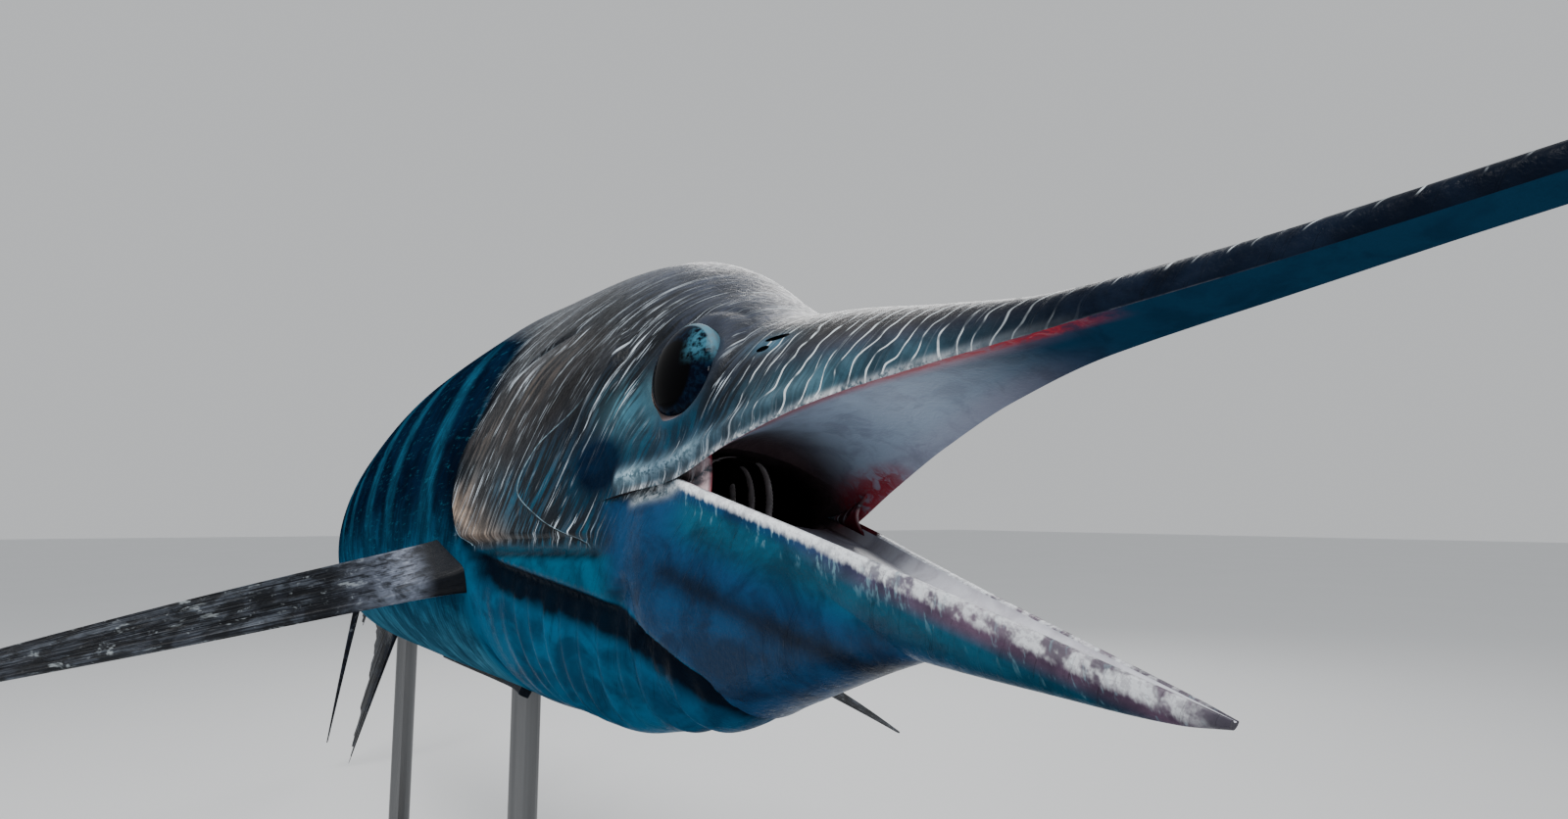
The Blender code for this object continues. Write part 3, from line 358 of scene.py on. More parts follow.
# Fins: steps from ray to ray, width of a ray, the web's share of its thickness, roundness of the
# edges, swelling of the root, notches and ripples, and for each fin its rays and rows of points
POINTS_TO_RAY = 6
RAY_WIDTH = 0.26
WEB_SHARE = 0.50
FIN_ROUND = 18
FIN_EDGE = 0.02
ROOT_SWELL = 0.9
ROOT_SWELL_REACH = 0.05
ROOT_SMOOTH = (0.06, 0.20)
EDGE_NOTCH = 0.035
NOTCH_POWER = 6
ARC_NOTCHES = (0.3, 1.0)
FIN_RIPPLE = 0.0012
FIN_RIPPLE_COUNT = 7
ROW_FINS = {
    "first_dorsal_fin": (FIRST_DORSAL_BASE, FIRST_DORSAL, MEDIAN_THICK, 1, 40, 46),
    "second_dorsal_fin": (SECOND_DORSAL_BASE, SECOND_DORSAL, SMALL_THICK, 1, 6, 24),
    "first_anal_fin": (FIRST_ANAL_BASE, FIRST_ANAL, MEDIAN_THICK, -1, 16, 60),
    "second_anal_fin": (SECOND_ANAL_BASE, SECOND_ANAL, SMALL_THICK, -1, 6, 24),
}
PECTORAL_RAYS, PECTORAL_ROWS = 20, 110
PELVIC_RAYS, PELVIC_ROWS = 3, 60
TAIL_RAYS, TAIL_ROWS = 22, 80

# Arches of the gills at the back of the mouth: x of each, and its reach to the side
ARCHES = ((-0.036, 0.026), (-0.060, 0.024), (-0.084, 0.020))
ARCH_INNER = 0.010
ARCH_MIDDLE = -0.076
ARCH_REACH = 0.034
ARCH_LEAN = 0.016
ARCH_WIDTH = 0.0046
ARCH_TAPER = 0.55
ARCH_FLATNESS = 0.4
ARCH_COMB = 0.10
ARCH_FILAMENTS = 34
ARCH_RINGS = 240
ARCH_SIDES = 12

# Markings: pitch of the flank's bars and place of the first, lean of the head's streaks, whose pale lines
# are painted caustic light, and how they sweep back on the crown, pitch of the painted caustic lines on
# the snout, and the pupil's place and half-axes
BAR_PITCH = 0.135
BAR_SHIFT = 0.020
FLOW_LEAN = 0.55
FLOW_SWEEP = 0.9
SNOUT_CAUSTIC_PITCH = 0.0125
PUPIL = (-0.003, -0.004, 0.0235, 0.0255)

# Fine lines along the gill cover: offset from the edge, whether it is the preopercle's, half-width,
# strength and colour
COVER_LINES = (
    (0.0016, False, 0.0022, 0.80, (0.30, 0.46, 0.56)),
    (0.0010, True, 0.0013, 0.34, (0.20, 0.30, 0.36)),
    (-0.0022, True, 0.0024, 0.85, (0.003, 0.004, 0.006)),
)

# Camera in the fish's frame: place, direction, roll and focal length as a share of the picture's width
CAMERA_AT = (0.5589, -0.3410, -0.1925)
CAMERA_AZIMUTH = math.radians(148.2)
CAMERA_RISE = math.radians(15.85)
CAMERA_ROLL = math.radians(7.36)
CAMERA_FOCAL = 932.86 / 1600
SENSOR = 36.0

# Studio: floor and backdrop, and lights by name, place in the world, size, power and colour
FLOOR_SIZE = 60.0
FLOOR_GREY = (0.72, 0.73, 0.74)
BACKDROP = (0.86, 0.88, 0.90, 1.0)
BACKDROP_STRENGTH = 0.70
LIGHTS = (
    ("key", (1.2, -1.7, 3.6), 1.6, 135.0, (1.0, 0.985, 0.96)),
    ("glint", (2.2, -2.6, 1.9), 0.35, 20.0, (1.0, 1.0, 1.0)),
    ("rear", (-2.4, 2.4, 2.8), 2.2, 60.0, (1.0, 0.99, 0.98)),
)
LIGHT_AIM = (0.3, 0.0, 0.70)

# Nodes of the frame that the skin stands for
SKIN_NODES = ("bill", "head", "lower_jaw", "throat", "gill_cover_left", "gill_cover_right")
SKIN_NODES += ("chest", "trunk", "rear_trunk", "tail_stem")


def smooth_curve(stations):
    """A smooth function through (position, value) pairs that doesn't overshoot between them."""
    xs, ys = (np.array(row, float) for row in zip(*sorted(stations)))
    steps = np.diff(ys) / np.diff(xs)
    slopes = np.concatenate([steps[:1], np.zeros(len(steps) - 1), steps[-1:]])
    for i in range(1, len(steps)):
        if steps[i - 1] * steps[i] > 0:
            slopes[i] = 2 / (1 / steps[i - 1] + 1 / steps[i])

    def value(x):
        x = np.clip(np.asarray(x, float), xs[0], xs[-1])
        i = np.clip(np.searchsorted(xs, x, side="right") - 1, 0, len(steps) - 1)
        h = xs[i + 1] - xs[i]
        t = (x - xs[i]) / h
        return (
            ys[i] * (1 + 2 * t) * (1 - t) ** 2
            + ys[i + 1] * t * t * (3 - 2 * t)
            + h * slopes[i] * t * (1 - t) ** 2
            + h * slopes[i + 1] * t * t * (t - 1)
        )

    return value


def columns(table):
    """One smooth function of the first column for each other column of a station table."""
    return [smooth_curve([(row[0], row[k]) for row in table]) for k in range(1, len(table[0]))]


up_top, up_half, up_wide_z, up_lower, up_edge_z, up_arch = columns(UPPER)
th_top, th_half, th_wide_z, th_bottom = columns(THROAT)
tr_top, tr_half, tr_wide_z, tr_bottom = columns(TRUNK)
mo_top, mo_half, mo_wide_z, mo_bottom = columns(MOUTH)
jaw_half, jaw_depth, jaw_lip, jaw_trough = columns(JAW)
cover_front, cover_step, cover_rear = columns(COVER)
membrane_z = smooth_curve(MEMBRANE)
swing = smooth_curve(SWING)
droop = smooth_curve(DROOP)
lateral_z = smooth_curve(LATERAL_LINE)
preopercle_lift = smooth_curve(SKIN_PREOPERCLE)
opercle_lift = smooth_curve(SKIN_OPERCLE)


def ramp(value, start, end):
    """Smooth step from 0 at start to 1 at end."""
    t = np.clip((np.asarray(value, float) - start) / (end - start), 0, 1)
    return t * t * (3 - 2 * t)


def bump(distance, width):
    """1 at no distance, falling off softly on both sides."""
    return np.exp(-((np.asarray(distance, float) / width) ** 2))


def run(x, places):
    """1 along the middle of a form and 0 beyond its ends."""
    return ramp(x, *places[:2]) * (1 - ramp(x, *places[2:]))


def spaced(runs):
    """Evenly spaced places of each run, one run after the other."""
    return np.concatenate([np.linspace(*stretch) for stretch in runs])


ATTITUDE = (
    Matrix.Translation((EYE_FORWARD, 0.0, EYE_HEIGHT))
    @ Matrix.Rotation(-NOSE_UP, 4, "Y")
    @ Matrix.Rotation(BANK, 4, "X")
)


def to_world(points):
    """Points of the straight fish on the curved axis, in the pose on the stand."""
    points = np.asarray(points, float).reshape(-1, 3)
    x, y, z = points.T
    step = 0.01
    side = (swing(x + step) - swing(x - step)) / (2 * step)
    rise = (droop(x + step) - droop(x - step)) / (2 * step)
    ahead = np.stack([np.ones_like(x), side, rise], 1)
    ahead /= np.linalg.norm(ahead, axis=1)[:, None]
    left = np.stack([-side, np.ones_like(x), np.zeros_like(x)], 1)
    left /= np.linalg.norm(left, axis=1)[:, None]
    up = np.cross(ahead, left)
    axis = np.stack([x, swing(x), droop(x)], 1)
    curved = axis + y[:, None] * left + z[:, None] * up
    turn = np.array(ATTITUDE)
    return curved @ turn[:3, :3].T + turn[:3, 3]


def egg(half, wide, reach, angle, lift):
    """Points of an egg section, moved out by lift: angle 0 is the left side and pi/2 the top."""
    across, along = np.cos(angle) / half, np.sin(angle) / reach
    length = np.hypot(across, along)
    y = half * np.cos(angle) + lift * across / length
    return y, wide + reach * np.sin(angle) + lift * along / length


def throat_relief(x, side, z):
    """The free edge of the throat membrane, the deep fold behind it, and the pleated skin there."""
    beyond = membrane_z(x) - z
    behind = ramp(beyond, 0.0, FOLD_EDGE) * (1 - ramp(x, *FOLD_FRONT))
    behind = behind * (1 - ramp(-x, MEMBRANE_FADE, -GILL_EDGE))
    across = x * math.cos(PLEAT_LEAN) - z * math.sin(PLEAT_LEAN)
    pleats = ramp(side, *FOLD_PLEAT_SIDE) * np.cos(2 * math.pi * across / FOLD_PLEAT_PITCH)
    pleats = FOLD_PLEAT_DEPTH * pleats * ramp(beyond, *PLEATS_START)
    return behind * (pleats - FOLD_STEP - FOLD_DEPTH * bump(beyond, FOLD_WIDTH))


def relief(x, y, z):
    """How far the skin stands out of the plain section of the body at each point."""
    side = np.abs(y)
    edge = up_edge_z(x)
    on_side = ramp(side, *OFF_MIDLINE)
    from_eye = np.hypot(x, z)
    lift = STRAP_RISE * run(x, STRAP_RUN) * bump(z - edge - STRAP_ABOVE_LIP, STRAP_WIDTH)
    lift = lift + LIP_RISE * run(x, LIP_RUN) * bump(z - edge, LIP_WIDTH)
    to_rear = ramp(-x, *BEHIND_PUPIL)
    rim = ORBIT_RISE * bump(from_eye - EYE_RADIUS - ORBIT_FLARE, ORBIT_WIDTH)
    rim = rim * (1 - ORBIT_REAR_LOSS * to_rear)
    depth, off, width = REAR_DIP
    lift = lift + on_side * (rim - depth * to_rear * bump(from_eye - EYE_RADIUS - off, width))
    brow = BROW_DEPTH * bump(from_eye - EYE_RADIUS - BROW_OFF, BROW_WIDTH)
    lift = lift - on_side * brow * ramp(z, *BROW_FADE)
    beyond = cover_rear(z) - x
    lift = lift - SLIT_DEPTH * run(beyond, SLIT_RUN) * run(z, SLIT_LEVELS)
    level, width, depth = UNDER_COVER
    lift = lift - depth * bump(z - level, width) * run(x, UNDER_COVER_RUN)
    line = LATERAL_DEPTH * bump(z - lateral_z(x), LATERAL_WIDTH) * ramp(-x, *LATERAL_START)
    sink, high, low = BODY_UNDER
    hidden = sink * ramp(membrane_z(x) - z, -high, -low) * run(x, BODY_UNDER_RUN)
    return lift - line - hidden + throat_relief(x, side, z)


def section(x):
    """Top, half-width, widest height, lower reach, edge of the lip and rise of the palate at x."""
    if x >= GILL_EDGE:
        return [float(f(x)) for f in (up_top, up_half, up_wide_z, up_lower, up_edge_z, up_arch)]
    top, half, wide, bottom = (float(f(x)) for f in (tr_top, tr_half, tr_wide_z, tr_bottom))
    fade = float(ramp(-x, *STEM_FADE))
    return [top * (1 - STEM_LOW * fade), half * (1 - STEM_THIN * fade), wide, wide - bottom, bottom, 0.0]


def body_ring(x):
    """Section of bill, head, trunk or stem: crown, cheeks and what lies between the lips."""
    top, half, wide, lower, edge, arch = section(x)
    closed = 1.0 if x < -BODY_CLOSES else 0.0
    edge = (1 - closed) * edge + closed * (wide - BODY_FLOOR * lower)
    crown = np.linspace(math.pi / 2, 0, SKIN_CROWN // 2 + 1)
    cheek = np.linspace(0, -math.asin((wide - edge) / lower), SKIN_CHEEK + 1)[1:]
    crown_y, crown_z = egg(half, wide, top - wide, crown, 0.0)
    cheek_y, cheek_z = egg(half, wide, lower, cheek, 0.0)
    crown_y, crown_z = egg(half, wide, top - wide, crown, relief(x, crown_y, crown_z))
    cheek_y, cheek_z = egg(half, wide, lower, cheek, relief(x, cheek_y, cheek_z))
    y, z = np.concatenate([crown_y, cheek_y]), np.concatenate([crown_z, cheek_z])
    shares = np.linspace(1, -1, SKIN_PALATE + 1)[1:-1]
    palate_y, palate_z = y[-1] * shares, z[-1] + arch * (1 - closed) * (1 - shares**2)
    ring_y = np.concatenate([y, palate_y, -y[:0:-1]])
    ring_z = np.concatenate([z, palate_z, z[:0:-1]])
    return np.stack([np.full_like(ring_y, x), ring_y, ring_z], 1)


def jaw_wall(x):
    """Half-width and height at which the flesh of the throat starts under the jaw's lip."""
    t = (x - JAW_HINGE[0]) / (JAW_LENGTH * math.cos(JAW_OPEN))
    lip = JAW_HINGE[1] - t * JAW_LENGTH * math.sin(JAW_OPEN)
    wall = float(jaw_half(t)) * math.sqrt(1 - (WALL_DROP / float(jaw_depth(t))) ** 2) + WALL_PROUD
    along = float(run(x, WALL_RUN))
    own_half, own_wide = float(th_half(x)), float(th_wide_z(x))
    return own_half + (wall - own_half) * along, own_wide + (lip - WALL_DROP - own_wide) * along


def throat_lift(x, y, z):
    """How far the throat's skin stands out of its plain section, and its dive into the trunk."""
    dive_from, dive_to, dive = THROAT_DIVE
    level, width, depth = UNDER_COVER
    groove = depth * bump(z - level, width) * run(x, UNDER_COVER_RUN)
    dive = dive * float(ramp(-x, dive_from, dive_to))
    return throat_relief(x, np.abs(y), z) - groove + THROAT_PROUD - dive


def throat_ring(x):
    """Section of the throat, which turns into the body's own egg behind the jaw hinge."""
    share = float(ramp(-x, -SKIN_BLEND[0], -SKIN_BLEND[1]))
    half, wide, lower = float(up_half(x)), float(up_wide_z(x)), float(up_lower(x))
    top = float(up_edge_z(x)) + THROAT_TUCK
    first = math.asin(min(1.0, (wide - top) / lower))
    own_top, own_half, own_wide = float(th_top(x)), float(th_half(x)), float(th_wide_z(x))
    own_reach = own_wide - float(th_bottom(x))
    outer_steps, top_steps = SKIN_THROAT_STEPS
    s = np.linspace(0, 1, outer_steps + 1)
    angle = -(first + s * (math.pi - 2 * first))
    egg_y, egg_z = egg(half, wide, lower, angle, 0.0)
    low = np.clip((s - WALL_SHARE) / (1 - 2 * WALL_SHARE), 0, 1)
    own_y, own_z = egg(own_half, own_wide, own_reach, -low * math.pi, 0.0)
    wall_y, wall_z = jaw_wall(x)
    down = np.clip(np.minimum(s, 1 - s) / WALL_SHARE, 0, 1)
    on_wall = np.sign(0.5 - s) * (wall_y + (own_half - wall_y) * ramp(down, 0.0, 1.0))
    own_y = np.where(down < 1, on_wall, own_y)
    own_z = np.where(down < 1, wall_z + (own_wide - wall_z) * down, own_z)
    own_top = max(own_top, wall_z)
    egg_y, egg_z = egg(half, wide, lower, angle, throat_lift(x, egg_y, egg_z))
    lift = throat_lift(x, own_y, own_z)
    lift[[0, -1]] = 0.0
    out_y, out_z = own_y, (own_z - own_wide) * THROAT_OUTWARD
    length = np.maximum(np.hypot(out_y, out_z), 1e-6)
    own_y, own_z = own_y + lift * out_y / length, own_z + lift * out_z / length
    y, z = (1 - share) * own_y + share * egg_y, (1 - share) * own_z + share * egg_z
    top_z = max((1 - share) * own_top + share * top, z[0])
    rim = np.linspace(-1, 1, top_steps + 1)[1:-1] * y[0]
    ring_y, ring_z = np.concatenate([y, rim]), np.concatenate([z, np.full_like(rim, top_z)])
    return np.stack([np.full_like(ring_y, x), ring_y, ring_z], 1)


def from_jaw(along, y, z):
    """Points of the jaw's own frame, whose first axis runs from its hinge to its tip."""
    x = JAW_HINGE[0] + along * math.cos(JAW_OPEN) + z * math.sin(JAW_OPEN)
    height = JAW_HINGE[1] - along * math.sin(JAW_OPEN) + z * math.cos(JAW_OPEN)
    return np.stack([x, y, height], 1)


def jaw_ring(t):
    """Section of the lower jaw with rounded lips, t of the way from its hinge to its tip."""
    half, depth, lip, trough = (float(f(t)) for f in (jaw_half, jaw_depth, jaw_lip, jaw_trough))
    outer_steps, lip_steps, inner_steps = SKIN_JAW_STEPS
    down = np.linspace(0, math.pi, outer_steps + 1)
    over = np.linspace(math.pi, 0, lip_steps + 1)[1:-1]
    across = np.linspace(0, math.pi, inner_steps + 1)
    rise = JAW_LIP_RISE * np.sin(over) * min(1.0, lip / JAW[0][3])
    lip_y = lip / 2 * np.cos(over)
    mid_lip = half - lip / 2
    y = [half * np.cos(down), lip_y - mid_lip, -(half - lip) * np.cos(across), lip_y + mid_lip]
    z = [-depth * np.sin(down), rise, -trough * np.sin(across), rise]
    y, z = np.concatenate(y), np.concatenate(z)
    return from_jaw(np.full_like(y, t * JAW_LENGTH), y, z)


def flank(x, z, side, lift):
    """Points off the flank at these places and heights, moved out by lift."""
    head = x >= GILL_EDGE
    top, half = np.where(head, up_top(x), tr_top(x)), np.where(head, up_half(x), tr_half(x))
    wide = np.where(head, up_wide_z(x), tr_wide_z(x))
    lower = np.where(head, up_lower(x), tr_wide_z(x) - tr_bottom(x))
    reach = np.where(z > wide, top - wide, lower)
    y, height = egg(half, wide, reach, np.arcsin(np.clip((z - wide) / reach, -1, 1)), lift)
    return np.stack([x, side * y, height], -1)


def cover_sheets(side):
    """Outer and inner sheet of a gill cover, each a grid of rows from its top to its lower edge."""
    ahead, behind = SKIN_COVER_STEPS
    front_shares = np.linspace(0, 1, ahead)
    rear_shares = np.linspace(0, 1, behind)[1:] ** COVER_CROWDING
    outer, inner = [], []
    for z in np.linspace(COVER[0][0], COVER[-1][0], SKIN_COVER_ROWS):
        front, step, rear = (float(f(z)) for f in (cover_front, cover_step, cover_rear))
        x = np.concatenate([front + front_shares * (step - front), step + rear_shares * (rear - step)])
        lift = np.concatenate([preopercle_lift(front_shares), opercle_lift(rear_shares)])
        fade = ramp(COVER[0][0] - z, 0.0, COVER_TOP_FADE) * ramp(z - COVER[-1][0], 0.0, COVER_LOW_FADE)
        lift = fade * lift - (1 - fade) * COVER_TUCK
        outer.append(flank(x, np.full_like(x, z), side, lift))
        inner.append(flank(x, np.full_like(x, z), side, np.full_like(x, -SKIN_COVER_SINK)))
    return np.array(outer), np.array(inner)


def make_object(name, points, faces, slots=None):
    """A mesh object whose faces point outwards, with a material slot number for each face."""
    mesh = bpy.data.meshes.new(name)
    mesh.from_pydata(np.asarray(points).tolist(), [], faces)
    if slots is not None:
        for _ in range(max(slots) + 1):
            mesh.materials.append(None)
        mesh.polygons.foreach_set("material_index", slots)
    shape = bmesh.new()
    shape.from_mesh(mesh)
    if shape.calc_volume(signed=True) < 0:
        bmesh.ops.reverse_faces(shape, faces=shape.faces)
        shape.to_mesh(mesh)
    shape.free()
    obj = bpy.data.objects.new(name, mesh)
    bpy.context.scene.collection.objects.link(obj)
    return obj


def tube_of_rings(name, rings, slot_of_column, end_slot=0):
    """A closed solid through rings of equally many points, with a flat face at each end."""
    rings = np.asarray(rings)
    places, count = rings.shape[:2]
    a = (np.arange(places - 1)[:, None] * count + np.arange(count)[None, :]).ravel()
    b = (np.arange(places - 1)[:, None] * count + (np.arange(count)[None, :] + 1) % count).ravel()
    faces = np.stack([a, b, b + count, a + count], 1).tolist()
    slots = np.tile(slot_of_column, places - 1).tolist()
    last = (places - 1) * count
    faces.append(list(range(count - 1, -1, -1)))
    faces.append(list(range(last, last + count)))
    return make_object(name, rings.reshape(-1, 3), faces, slots + [end_slot, end_slot])


def slab(name, front, back):
    """A closed solid between two sheets of points in equal grids."""
    rows, count = np.shape(front)[:2]
    points = np.concatenate([np.reshape(front, (-1, 3)), np.reshape(back, (-1, 3))])
    under = rows * count
    a = (np.arange(rows - 1)[:, None] * count + np.arange(count - 1)[None, :]).ravel()
    faces = np.stack([a, a + 1, a + count + 1, a + count], 1).tolist()
    faces += (np.stack([a + count, a + count + 1, a + 1, a], 1) + under).tolist()
    rim = list(range(count))
    rim += [i * count + count - 1 for i in range(1, rows)]
    rim += [(rows - 1) * count + j for j in range(count - 2, -1, -1)]
    rim += [i * count for i in range(rows - 2, 0, -1)]
    faces += [[c, under + c, under + d, d] for c, d in zip(rim, rim[1:] + rim[:1])]
    return make_object(name, points, faces, [0] * len(faces))


def turned(name, profile, sides, slot=0):
    """A solid turned about Z from (radius, height) pairs that start and end on the axis."""
    turn = np.linspace(0, 2 * math.pi, sides, endpoint=False)
    points = [(0, 0, profile[0][1])]
    for radius, height in profile[1:-1]:
        points += [(radius * math.cos(a), radius * math.sin(a), height) for a in turn]
    points.append((0, 0, profile[-1][1]))
    faces = [[0, 1 + k, 1 + (k + 1) % sides] for k in range(sides)]
    for i in range(len(profile) - 3):
        start = 1 + i * sides
        faces += [
            [start + k, start + k + sides, start + (k + 1) % sides + sides, start + (k + 1) % sides]
            for k in range(sides)
        ]
    last = len(points) - 1
    faces += [[last, last - sides + (k + 1) % sides, last - sides + k] for k in range(sides)]
    return make_object(name, points, faces, [slot] * len(faces))


def eye_frame(side):
    """Matrix that sets a shape turned about Z into the orbit of this side."""
    outward = Vector((math.sin(EYE_TOE_IN), side * math.cos(EYE_TOE_IN), 0.0))
    turn = outward.to_track_quat("Z", "Y").to_matrix().to_4x4()
    return Matrix.Translation((0, side * EYE_SIDE, 0)) @ turn


def boolean(obj, others, operation):
    """Apply one Boolean with all of the other objects, which it then removes."""
    group = bpy.data.collections.new("operands")
    bpy.context.scene.collection.children.link(group)
    for other in others:
        bpy.context.scene.collection.objects.unlink(other)
        group.objects.link(other)
    change = obj.modifiers.new(operation.lower(), "BOOLEAN")
    change.operation = operation
    change.solver = "MANIFOLD"
    change.operand_type = "COLLECTION"
    change.collection = group
    bpy.context.view_layer.update()
    result = bpy.data.meshes.new_from_object(obj.evaluated_get(bpy.context.evaluated_depsgraph_get()))
    obj.modifiers.clear()
    before = obj.data
    obj.data = result
    bpy.data.meshes.remove(before)
    for other in others:
        bpy.data.objects.remove(other)
    bpy.data.collections.remove(group)


def coordinates(mesh):
    """Every point of a mesh as one row."""
    points = np.empty(len(mesh.vertices) * 3, np.float32)
    mesh.vertices.foreach_get("co", points)
    return points.reshape(-1, 3).astype(float)


def set_coordinates(mesh, points):
    mesh.vertices.foreach_set("co", np.asarray(points, np.float32).ravel())
    mesh.update()


def keep_largest(obj):
    """Drop all but the largest connected piece of a mesh."""
    mesh = obj.data
    ends = np.empty(len(mesh.edges) * 2, np.int32)
    mesh.edges.foreach_get("vertices", ends)
    ends = ends.reshape(-1, 2)
    label = np.arange(len(mesh.vertices))
    while True:
        low = np.minimum(label[ends[:, 0]], label[ends[:, 1]])
        before = label.copy()
        np.minimum.at(label, ends[:, 0], low)
        np.minimum.at(label, ends[:, 1], low)
        label = label[label]
        if np.array_equal(before, label):
            break
    values, counts = np.unique(label, return_counts=True)
    dropped = np.flatnonzero(label != values[counts.argmax()])
    if len(dropped):
        shape = bmesh.new()
        shape.from_mesh(mesh)
        shape.verts.ensure_lookup_table()
        bmesh.ops.delete(shape, geom=[shape.verts[i] for i in dropped], context="VERTS")
        shape.to_mesh(mesh)
        shape.free()


def store(mesh, name, values):
    """Keep a number or a vector for each vertex, for the materials."""
    values = np.asarray(values, np.float32)
    kind = "FLOAT" if values.ndim == 1 else "FLOAT_VECTOR"
    made = mesh.attributes.new(name, kind, "POINT")
    made.data.foreach_set("value" if kind == "FLOAT" else "vector", values.ravel())


def build_skin():
    """One closed skin of bill, head, jaw, throat, gill covers, trunk and tail stem, still straight."""
    places = spaced(SKIN_RUNS)
    rings = np.array([body_ring(x) for x in places])
    outer = SKIN_CROWN // 2 + SKIN_CHEEK
    slot_of_column = [SKIN] * outer + [LINING] * SKIN_PALATE + [SKIN] * outer
    body = tube_of_rings("marlin_skin", rings, slot_of_column)
    throat_steps, top_steps = SKIN_THROAT_STEPS
    throat_rings = [throat_ring(x) for x in np.linspace(*SKIN_THROAT_RUN)]
    throat = tube_of_rings("throat_form", throat_rings, [SKIN] * throat_steps + [LINING] * top_steps)
    outer_steps, lip_steps, inner_steps = SKIN_JAW_STEPS
    shares = 1 - (1 - np.linspace(0, 1, SKIN_JAW_RINGS)) ** JAW_CROWDING
    jaw_slots = [SKIN] * (outer_steps + lip_steps) + [LINING] * inner_steps + [SKIN] * lip_steps
    jaw = tube_of_rings("jaw_form", [jaw_ring(t) for t in shares], jaw_slots)
    covers = [slab("cover_form", *cover_sheets(side)) for side in (1, -1)]
    folds = [corner_fold(side) for side in (1, -1)]
    boolean(body, [throat, jaw, *covers, *folds, *build_keels()], "UNION")
    cutters = [mouth_cutter()]
    for side in (1, -1):
        cutters.append(socket_cutter(side))
        cutters += [nostril_cutter(side, *nostril) for nostril in SKIN_NOSTRILS]
    boolean(body, cutters, "DIFFERENCE")
    keep_largest(body)
    return body


def mouth_cutter():
    """The hollow of the mouth behind the palate, as a closed solid."""
    rings = []
    for x in np.linspace(MOUTH[0][0], MOUTH[-1][0], MOUTH_CUT_RINGS):
        angle = np.linspace(0, 2 * math.pi, MOUTH_CUT_STEPS, endpoint=False)
        top, half, wide, bottom = (float(f(x)) for f in (mo_top, mo_half, mo_wide_z, mo_bottom))
        reach = np.where(angle < math.pi, top - wide, wide - bottom)
        y, z = egg(half, wide, reach, angle, 0.0)
        rings.append(np.stack([np.full_like(y, x), y, z], 1))
    return tube_of_rings("mouth_cut", rings, [LINING] * MOUTH_CUT_STEPS, LINING)


def socket_cutter(side):
    """The orbit of one side: a bowl a little larger than the eye, which flares outwards."""
    radius, back = EYE_RADIUS + SOCKET_GAP, EYE_DEPTH + SOCKET_GAP
    turn = np.linspace(0, math.pi / 2, SOCKET_STEPS + 1)[:-1]
    bowl = [(radius * math.cos(a), -back * math.sin(a)) for a in turn]
    flare = [(0, ORBIT_REACH), (radius + 4 * ORBIT_FLARE, ORBIT_REACH)]
    flare += [(radius + r, z) for r, z in SOCKET_EDGE]
    cutter = turned("socket_cut", flare + bowl + [(0, -back)], SOCKET_SIDES, LINING)
    cutter.data.transform(eye_frame(side))
    return cutter


def nostril_cutter(side, x, z, half_length, half_height):
    """One nostril as a long pit in the side of the snout."""
    shape = bmesh.new()
    bmesh.ops.create_icosphere(shape, subdivisions=3, radius=1.0)
    mesh = bpy.data.meshes.new("nostril_cut")
    shape.to_mesh(mesh)
    shape.free()
    for slot in (None, None):
        mesh.materials.append(slot)
    mesh.polygons.foreach_set("material_index", [LINING] * len(mesh.polygons))
    centre = Vector(flank(np.array(x), np.array(z), side, 0.0))
    size = Matrix.Diagonal((half_length, NOSTRIL_DEPTH, half_height, 1))
    mesh.transform(Matrix.Translation(centre) @ Matrix.Rotation(NOSTRIL_TILT, 4, "Y") @ size)
    cutter = bpy.data.objects.new("nostril_cut", mesh)
    bpy.context.scene.collection.objects.link(cutter)
    return cutter


def corner_fold(side):
    """Fold of skin that joins the upper lip to the jaw's rim at the corner of the mouth."""
    front, back = [], []
    for x in np.linspace(*CORNER_SPAN, CORNER_STEPS):
        t = (x - JAW_HINGE[0]) / (JAW_LENGTH * math.cos(JAW_OPEN))
        rim = JAW_HINGE[1] - t * JAW_LENGTH * math.sin(JAW_OPEN) - CORNER_TUCK[1]
        edge = float(up_edge_z(x)) + CORNER_TUCK[0]
        drop = (float(up_wide_z(x)) - edge) / float(up_lower(x))
        lip_y = float(up_half(x)) * math.sqrt(1 - drop**2)
        jaw_y = float(jaw_half(t)) - CORNER_INSET
        ahead = (x - CORNER_SPAN[0]) / (CORNER_SPAN[1] - CORNER_SPAN[0])
        for sheet, inset in ((front, CORNER_INSET), (back, CORNER_INSET + CORNER_THICK)):
            row = []
            for v in np.linspace(0, 1, CORNER_STEPS):
                sag = 4 * v * (1 - v)
                y = (lip_y + (jaw_y - lip_y) * v) - inset - CORNER_SAG * sag
                row.append((x - CORNER_CURVE * sag * ahead, side * y, edge + (rim - edge) * v))
            sheet.append(row)
    return slab("corner_form", front, back)


def fin_solid(name, middle, thickness):
    """A thin closed solid about a grid of mid-surface points, with its place on the fin kept."""
    middle = np.asarray(middle, float)
    normal = np.cross(np.gradient(middle, axis=0), np.gradient(middle, axis=1))
    normal /= np.maximum(np.linalg.norm(normal, axis=2), 1e-12)[..., None]
    half = normal * np.asarray(thickness)[..., None] / 2
    fin = slab(name, middle + half, middle - half)
    rows, count = middle.shape[:2]
    v, u = np.meshgrid(np.linspace(0, 1, rows), np.linspace(0, 1, count), indexing="ij")
    place = np.stack([u.ravel(), v.ravel(), np.ones(rows * count)], 1)
    other = place * (1, 1, -1)
    store(fin.data, "place", np.concatenate([place, other]))
    return fin


def ray_ridges(u, rays):
    """1 on the crest of a ray and 0 in the web between two rays."""
    off = np.abs(u * rays - np.round(u * rays))
    return np.exp(-((off / RAY_WIDTH) ** 2))


